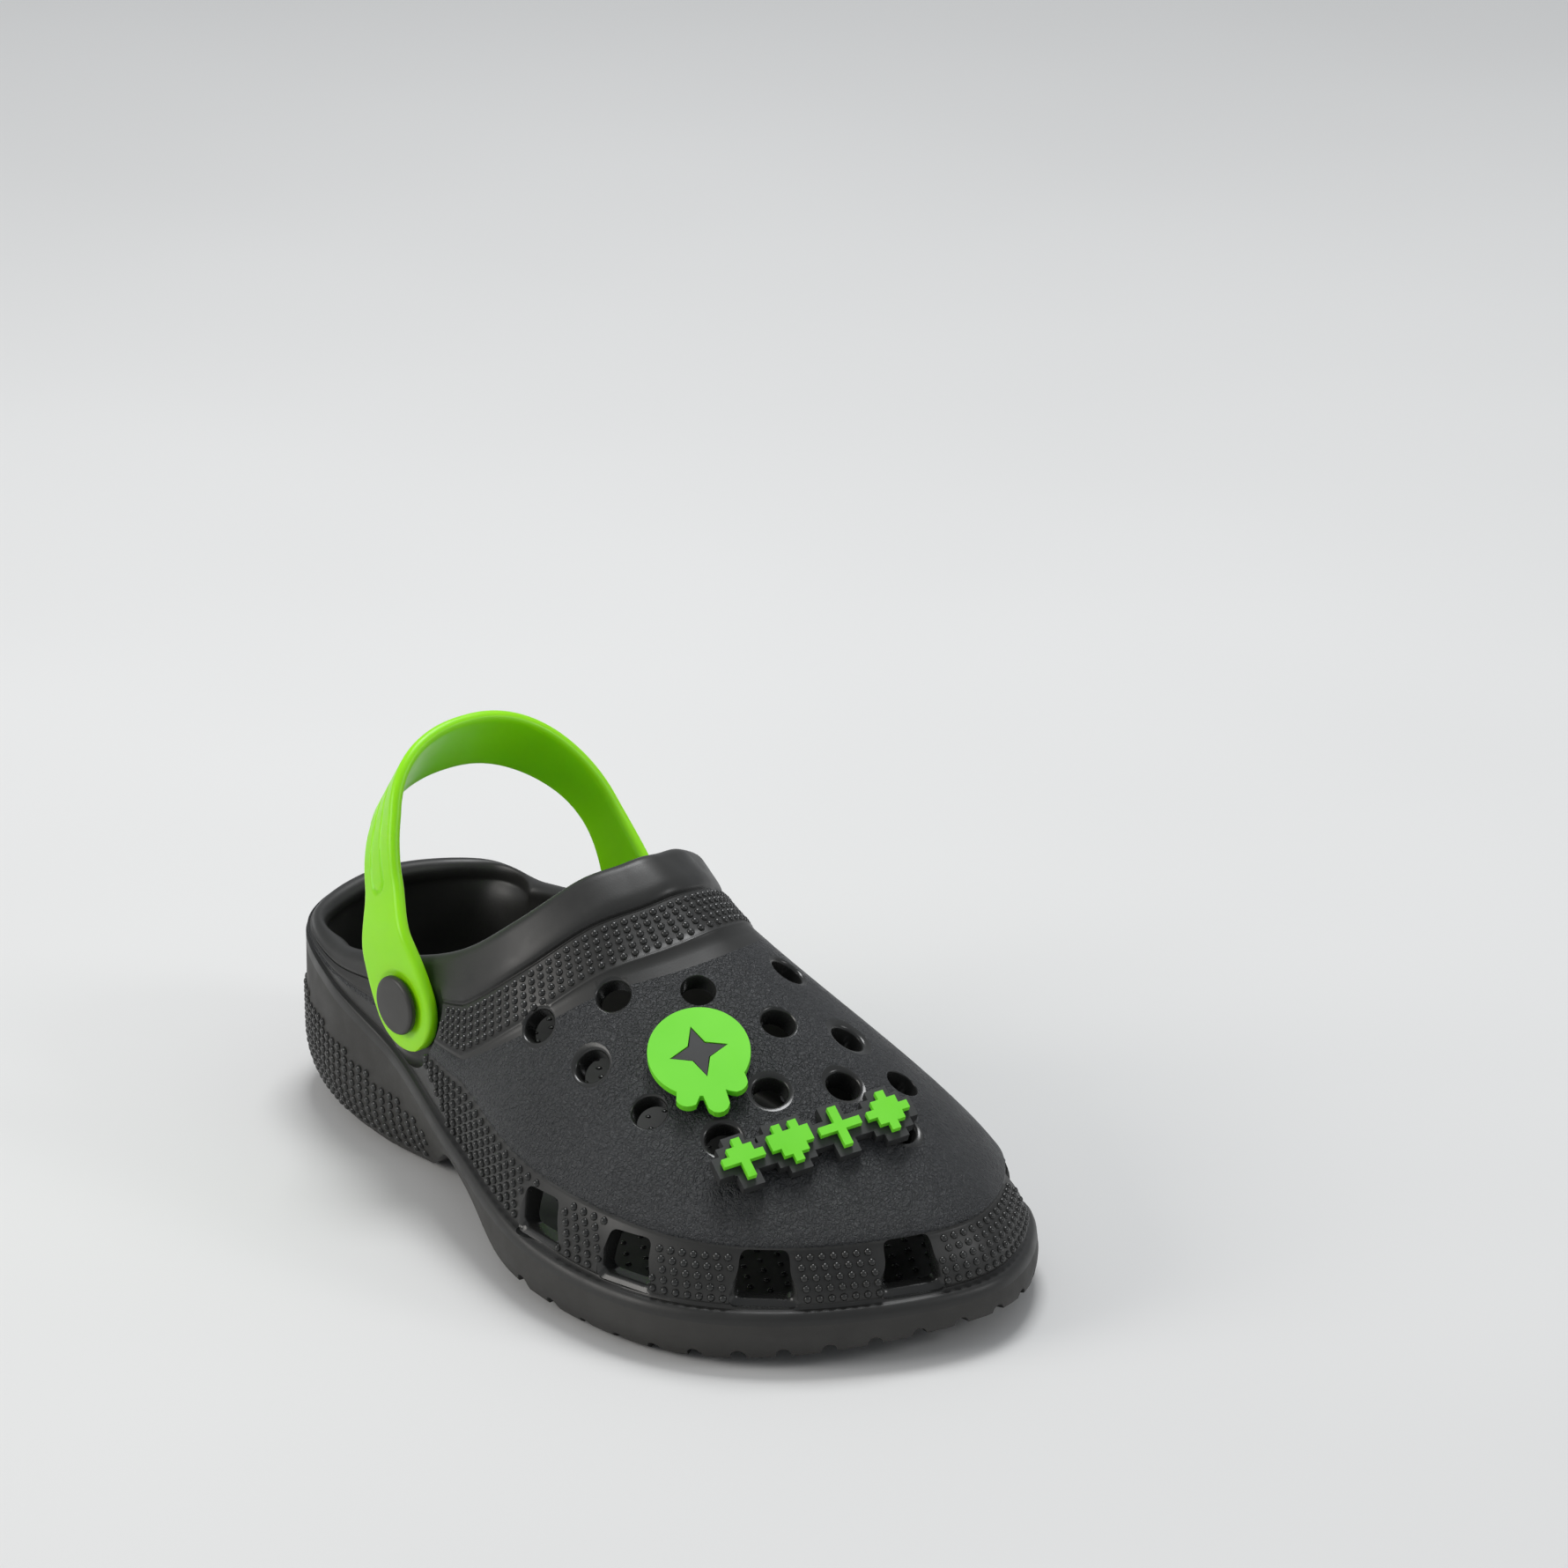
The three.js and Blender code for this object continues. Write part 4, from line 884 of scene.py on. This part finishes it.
def side_band_bumps():
    """Rows of bumps along the band above the lip, round the toe from strap to strap."""
    windows = window_columns()
    reference, _ = SHELL.at(SHELL.band * 0.5 * SHELL.scale)
    stretch = lerp(SIDE_STRETCH, 1, smooth((SHELL.x - 160) / 50))
    sizes = 1 / stretch ** 0.3
    places = []
    for i in range(6):
        height = BAND_GAP + BAND_ROW * i
        place, away = SHELL.at(height * SHELL.scale)
        keep = (SHELL.x > 100 - 3 * i) & (height < SHELL.band - 1.2)
        row = row_places(place, away, keep, even_columns(reference, BAND_PITCH, stretch), sizes)
        for p, n, size in row:
            gap = window_gap(p, windows)
            if gap > 0.75:
                places.append((p, n, size * min(1, 0.45 + gap * 0.45)))
    return place_bumps("side_band_bumps", places, BAND_BUMP)


def collar_band_bumps():
    """Rows of bumps under the collar's rolled edge, finer towards the strap."""
    places = []
    low, high = COLLAR_BAND - 1.4, COLLAR_ROLL + GROOVE_WIDTH + 1.4
    reference, _ = SHELL.at(SHELL.total - (low + high) / 2 * SHELL.scale)
    for i in range(COLLAR_ROWS):
        place, away = SHELL.at(SHELL.total - lerp(high, low, i / (COLLAR_ROWS - 1)) * SHELL.scale)
        clear = np.hypot(place[:, 0] - PIVOT_X, place[:, 2] - PIVOT_Z) > SEAT_RADIUS + 4.5
        keep = clear & (SHELL.relief > 0.2) & (place[:, 0] > PIVOT_X)
        row = even_columns(reference, COLLAR_PITCH, 1 / SHELL.scale)
        places += row_places(place, away, keep, row, SHELL.scale)
    return place_bumps("collar_band_bumps", places, COLLAR_BUMP)


def heel_panel_bumps():
    """A panel of bumps round the heel, under the smooth strip."""
    top = np.interp(SHELL.x, HEEL_PANEL_X, HEEL_PANEL_TOP)
    places = []
    flat = np.zeros(SHELL.n)
    tuck, tall = sole_edge(SHELL.heel)
    for i in range(HEEL_PANEL_ROWS):
        z = HEEL_PANEL_LOW + i * HEEL_ROW
        turn = np.arccos(np.clip(1 - z / tall, 0, 1))
        inset = tuck * (1 - np.sin(turn)) + waist_pinch(SHELL, z)
        place = with_z(SHELL.edge - SHELL.out * inset[:, None], z)
        down = np.stack([flat, flat, -tuck * np.cos(turn)], 1)
        away = unit(SHELL.out * (tall * np.sin(turn))[:, None] + down)
        nose = HEEL_PANEL_END - 0.06 * (z - 15) ** 2
        keep = (z < top - 1) & (SHELL.x < nose)
        places += row_places(place, away, keep, even_columns(SHELL.edge, HEEL_PITCH))
    return place_bumps("heel_panel_bumps", places, HEEL_BUMP)


def footbed_nubs():
    """Small nubs over the footbed, under the wearer's foot."""
    bed = RINGS[-1]
    half = SHELL.n // 2
    places = []
    for row, x in enumerate(np.arange(18, 218, NUB_PITCH * 0.87)):
        inner = np.interp(x, bed[:half, 0], bed[:half, 1])
        outer = np.interp(x, bed[half:, 0][::-1], bed[half:, 1][::-1])
        for y in np.arange(-60 + (row % 2) * NUB_PITCH / 2, 60, NUB_PITCH):
            if outer + NUB_MARGIN < y < inner - NUB_MARGIN:
                places.append((np.array([x, y, footbed_height(x)]), np.array([0, 0, 1.0]), NUB_SIZE))
    return place_bumps("footbed_nubs", places, HEEL_BUMP)


# ---- Heel strap ------------------------------------------------------------------------------

STRAP_LOW_Y = SEAT_OUTER_Y - GAP - STRAP_THICKNESS / 2
STRAP_HIGH_Y = SEAT_INNER_Y + GAP + STRAP_THICKNESS / 2
STRAP_MID_Y = (STRAP_LOW_Y + STRAP_HIGH_Y) / 2
STRAP_HALF = (STRAP_HIGH_Y - STRAP_LOW_Y) / 2
STRAP_ARCH = STRAP_REACH - STRAP_THICKNESS / 2 - STRAP_STRAIGHT


def inner_lean(z):
    """How far the inner arm leans towards the middle at a height above the pivot."""
    return STRAP_INNER_LEAN * smooth((z - STRAP_LEAN_START) / (STRAP_LEAN_FULL - STRAP_LEAN_START))


def outer_lean(z):
    """How far the outer arm leans towards the middle at a height above the pivot."""
    start = smooth((z - STRAP_OUTER_START) / STRAP_OUTER_EASE)
    return STRAP_OUTER_LEAN * start * np.clip((STRAP_REACH - z) / STRAP_OUTER_EASE, 0, 1)


def strap_tilt(z):
    """How far the band is turned, so that its front edge flares outward towards the top."""
    t = np.clip((z - STRAP_TILT_START) / (STRAP_REACH - STRAP_TILT_START), 0, 1)
    return math.radians(STRAP_TILT_DEG) * t ** STRAP_TILT_POWER


def strap_line():
    """The strap's middle line in its own plane, as (across, up), with an even spacing."""
    tip = STRAP_END_WIDTH / 2
    angles = math.pi * (1 - np.linspace(0, 1, 400))
    share = np.sign(np.cos(angles)) * np.abs(np.cos(angles)) ** STRAP_ARCH_POWER
    up = STRAP_STRAIGHT + STRAP_ARCH * np.abs(np.sin(angles)) ** STRAP_ARCH_POWER
    across = STRAP_HALF * share - inner_lean(up) * np.maximum(0, share)
    across += outer_lean(up) * np.maximum(0, -share)
    rise = np.linspace(0, STRAP_STRAIGHT, 40)[:-1]
    line = np.concatenate([
        np.stack([-STRAP_HALF + 0 * rise, rise], 1),
        np.stack([across, up], 1),
        np.stack([STRAP_HALF + 0 * rise, rise[::-1]], 1),
    ])
    travelled = np.concatenate([[0], np.cumsum(np.linalg.norm(np.diff(line, axis=0), axis=1))])
    wanted = np.linspace(0, travelled[-1], 330)
    line = np.stack([np.interp(wanted, travelled, line[:, k]) for k in (0, 1)], 1)
    line[1:-1] = (line[:-2] + 2 * line[1:-1] + line[2:]) / 4
    turn = np.radians(np.linspace(0, 90, 16)[:-1])
    end = -tip * np.cos(turn) * 0.998
    ends = np.stack([-STRAP_HALF + 0 * end, end], 1)
    other = np.stack([STRAP_HALF + 0 * end, end], 1)[::-1]
    return np.concatenate([ends, line, other])


def strap_width(z):
    """The strap's width at a height above the pivot, rounded off at its ends."""
    tip = STRAP_END_WIDTH / 2
    taper = smooth((z - 2) / 30)
    top = smooth((z - 30) / (STRAP_REACH - 34))
    arm = lerp(lerp(STRAP_END_WIDTH, STRAP_ARM_WIDTH, taper), STRAP_TOP_WIDTH, top)
    return np.where(z >= 0, arm, np.maximum(2.4, 2 * np.sqrt(np.maximum(0, tip * tip - z * z))))


def rounded_edge(half, corner, level, side, rise, angles):
    """Points of one rounded edge of the strap's section, from a face at a level."""
    points = []
    for degrees in angles:
        a = math.radians(degrees)
        across = half - corner + corner * math.sin(a)
        points.append((side * across, level + rise * corner * (1 - math.cos(a))))
    return points


def strap_section(half, reach):
    """The strap's section, as (across, out): a crowned outer face with its slot and rivet dish."""
    thick = STRAP_THICKNESS / 2
    face = thick - STRAP_CROWN
    corner = min(STRAP_CORNER, half * 0.9)
    flat = np.linspace(half - corner, -half + corner, 44)
    crown = STRAP_CROWN * (1 - (flat / half) ** 2)
    gap = np.abs(np.hypot(flat, reach - np.clip(reach, SLOT_START, SLOT_END)) - SLOT_HALF)
    engraved = SLOT_DEPTH * np.clip(1 - (gap / SLOT_LINE) ** 2, 0, 1)
    dish = STRAP_DISH * smooth((RIVET_HEAD_RADIUS + 1.3 - np.hypot(flat, reach)) / 0.8)
    section = list(zip(flat, face + crown - engraved - dish))
    falling, rising = (22, 45, 68), (68, 45, 22)
    section += rounded_edge(half, corner, face, -1, -1, falling)
    section += [(-half, face - corner), (-half, -thick + corner)]
    section += rounded_edge(half, corner, -thick, -1, 1, rising)
    section += list(zip(flat[::-3], -thick + 0 * flat[::-3]))
    section += rounded_edge(half, corner, -thick, 1, 1, falling)
    section += [(half, -thick + corner), (half, face - corner)]
    section += rounded_edge(half, corner, face, 1, -1, rising)
    return np.array(section)


def heel_strap():
    """The strap: its section swept along its line, leaned back on the pivot, with two rivet holes."""
    line = strap_line()
    along = unit(np.gradient(line, axis=0))
    travelled = np.concatenate([[0], np.cumsum(np.linalg.norm(np.diff(line, axis=0), axis=1))])
    from_low = travelled - STRAP_END_WIDTH / 2
    from_high = travelled[-1] - travelled - STRAP_END_WIDTH / 2
    reach = np.minimum(from_low, from_high)
    outward = np.stack([0 * along[:, 0], -along[:, 1], along[:, 0]], 1)
    half = strap_width(line[:, 1]) / 2
    forward = np.array([1.0, 0, 0])
    rows = []
    for i, (y, z) in enumerate(line):
        width, depth = strap_section(half[i], reach[i]).T[:, :, None]
        cos, sin = math.cos(strap_tilt(z)), math.sin(strap_tilt(z))
        turned_width = width * (forward * cos + outward[i] * sin)
        rows.append(np.array([0, y, z]) + turned_width + depth * (outward[i] * cos - forward * sin))
    n = len(rows[0])
    faces = [f[::-1] for f in ring_faces(len(rows), n)]
    faces += [tuple(range(n)), tuple(range((len(rows) - 1) * n, len(rows) * n))[::-1]]
    points = np.concatenate(rows)
    lean = math.radians(-STRAP_LEAN_DEG)
    leaned = np.stack([
        points[:, 0] * math.cos(lean) + points[:, 2] * math.sin(lean),
        points[:, 1],
        -points[:, 0] * math.sin(lean) + points[:, 2] * math.cos(lean),
    ], 1)
    placed = leaned + [PIVOT_X, STRAP_MID_Y, PIVOT_Z]
    made = mesh_object("green_heel_strap", placed, faces, [STRAP_GREEN])
    for middle in (STRAP_LOW_Y, STRAP_HIGH_Y):
        hole = cylinder_y(PIVOT_X, PIVOT_Z, STRAP_HOLE_RADIUS, middle - 4, middle + 4, 40)
        boolean(made, join_solids("hole", [hole], STRAP_GREEN), "DIFFERENCE")
    smooth_by_angle(made, 40)
    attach(made, "strap")
    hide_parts("heel_strap")
    return made


# ---- Rivets ----------------------------------------------------------------------------------

def rivet_head(label, face, side):
    """A nearly flat head with a soft edge, on a shank."""
    depth = STRAP_THICKNESS + 2 * GAP + GAP + SEAT_WALL + WASHER_HEIGHT
    r, h, shank = RIVET_HEAD_RADIUS, RIVET_HEAD_HEIGHT, RIVET_SHANK_RADIUS
    profile = [(0, -depth), (shank - 0.5, -depth), (shank, -depth + 0.5)]
    profile += [(shank, 0), (r - 0.25, 0), (r, 0.25)]
    for degrees in np.linspace(0, 90, 8):
        a = math.radians(degrees)
        profile.append((r - 1.1 + 1.1 * math.cos(a), h - 1.1 + 0.95 * math.sin(a)))
    profile += [(r - 2.2, h - 0.11), (r * 0.35, h), (0, h)]
    points, faces = lathe(profile, 72)
    place = face + side * (STRAP_THICKNESS + 2 * GAP)
    made = mesh_object("rivet_cap_" + label, along_y(points, place, side), faces, [RIVET_DARK])
    smooth_by_angle(made, 40)
    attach(made, "clog")
    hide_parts("rivet_head_" + label)


def rivet_washer(label, face, side):
    """The washer that holds the shank inside the wall."""
    hole, r, h = STRAP_HOLE_RADIUS, WASHER_RADIUS, WASHER_HEIGHT
    profile = [(hole, 0.25), (hole + 0.25, 0), (r - 0.5, 0), (r - 0.15, 0.15)]
    profile += [(r, 0.5), (r, h), (hole, h), (hole, 0.25)]
    points, faces = lathe(profile, 48)
    points[:, 2] = -points[:, 2]
    place = face - side * (SEAT_WALL + GAP)
    faces = [f[::-1] for f in faces]
    made = mesh_object("rivet_ring_" + label, along_y(points, place, side), faces, [RIVET_DARK])
    smooth_by_angle(made, 40)
    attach(made, "clog")
    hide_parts("rivet_washer_" + label)


# ---- Charms: the CAD shapes, with soft moulded edges -------------------------------------------

def soften(name, material, width):
    """Gives a CAD node a soft edge and its own material."""
    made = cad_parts[name]
    made.data.materials.clear()
    made.data.materials.append(material)
    weld = made.modifiers.new("weld", "WELD")
    weld.merge_threshold = 0.00001
    edge = made.modifiers.new("edge", "BEVEL")
    edge.width = width * MM
    edge.segments = 3
    edge.limit_method = "ANGLE"
    edge.angle_limit = math.radians(35)
    edge.use_clamp_overlap = True
    edge.harden_normals = False
    return made


def charms():
    """The CAD's charms, each with its rubber."""
    soften("round_charm_base", CHARM_DARK, 0.2)
    soften("round_charm_face", CHARM_GREEN, 0.45)
    soften("block_charm_base", CHARM_DARK, 0.25)
    for name in ("arrow", "heart", "plus", "diamond"):
        soften("block_charm_" + name, CHARM_GREEN, 0.25)


# ---- Stage, light and camera -------------------------------------------------------------------

def floor_material():
    m, tree, shader = new_material("pale_floor")
    where = node(tree, "ShaderNodeTexCoord").outputs["Object"]
    tint = noise(tree, where, 3.0, 2.0)
    tone = ramp(tree, tint.outputs["Fac"], [(0.3, colour(219, 219, 218)), (0.7, colour(223, 223, 222))])
    tree.links.new(tone.outputs["Color"], shader.inputs["Base Color"])
    shader.inputs["Roughness"].default_value = 0.9
    return m


def stage():
    """A flat pale floor, 12 m square."""
    mesh = bpy.data.meshes.new("studio_floor")
    mesh.from_pydata([(-6, -6, 0), (6, -6, 0), (6, 6, 0), (-6, 6, 0)], [], [(0, 1, 2, 3)])
    mesh.materials.append(floor_material())
    made = bpy.data.objects.new("studio_floor", mesh)
    bpy.context.scene.collection.objects.link(made)


def area_light(name, location, target, size, power, tint=(1, 1, 1)):
    light = bpy.data.lights.new(name, "AREA")
    light.shape = "RECTANGLE"
    light.size, light.size_y = size
    light.energy = power
    light.color = tint
    made = bpy.data.objects.new(name, light)
    made.location = location
    made.rotation_euler = (Vector(target) - Vector(location)).to_track_quat("-Z", "Y").to_euler()
    bpy.context.scene.collection.objects.link(made)


def lights():
    world = bpy.data.worlds.new("studio")
    world.use_nodes = True
    background = world.node_tree.nodes["Background"]
    background.inputs["Color"].default_value = (0.93, 0.96, 1.0, 1.0)
    background.inputs["Strength"].default_value = 0.4
    bpy.context.scene.world = world
    area_light("overhead", (-0.35, 0.35, 1.45), (0.03, 0, 0.03), (0.55, 0.55), 12.5, (0.98, 0.99, 1.0))
    area_light("left", (-0.55, -1.25, 0.75), (0, 0, 0.05), (0.9, 0.7), 9, (1.0, 0.97, 0.93))
    area_light("toe_side", (1.3, 0.9, 0.9), (0.05, 0, 0.05), (0.4, 0.4), 4)


def camera():
    data = bpy.data.cameras.new("camera")
    data.lens = CAMERA_LENS
    data.sensor_width = 36
    data.clip_end = 50
    made = bpy.data.objects.new("camera", data)
    target = Vector(CAMERA_TARGET)
    azimuth, elevation = math.radians(CAMERA_AZIMUTH), math.radians(CAMERA_ELEVATION)
    away = Vector((
        math.cos(elevation) * math.cos(azimuth),
        -math.cos(elevation) * math.sin(azimuth),
        math.sin(elevation),
    ))
    made.location = target + away * CAMERA_DISTANCE
    made.rotation_euler = (-away).to_track_quat("-Z", "Y").to_euler()
    bpy.context.scene.collection.objects.link(made)
    bpy.context.scene.camera = made
    bpy.context.scene.view_settings.view_transform = "Standard"


# ---- Everything --------------------------------------------------------------------------------

camera()
lights()
stage()
clog_body()
side_band_bumps()
collar_band_bumps()
heel_panel_bumps()
footbed_nubs()
heel_strap()
for label, face, side in (("outer", SEAT_OUTER_Y, -1), ("inner", SEAT_INNER_Y, 1)):
    rivet_head(label, face, side)
    rivet_washer(label, face, side)
charms()
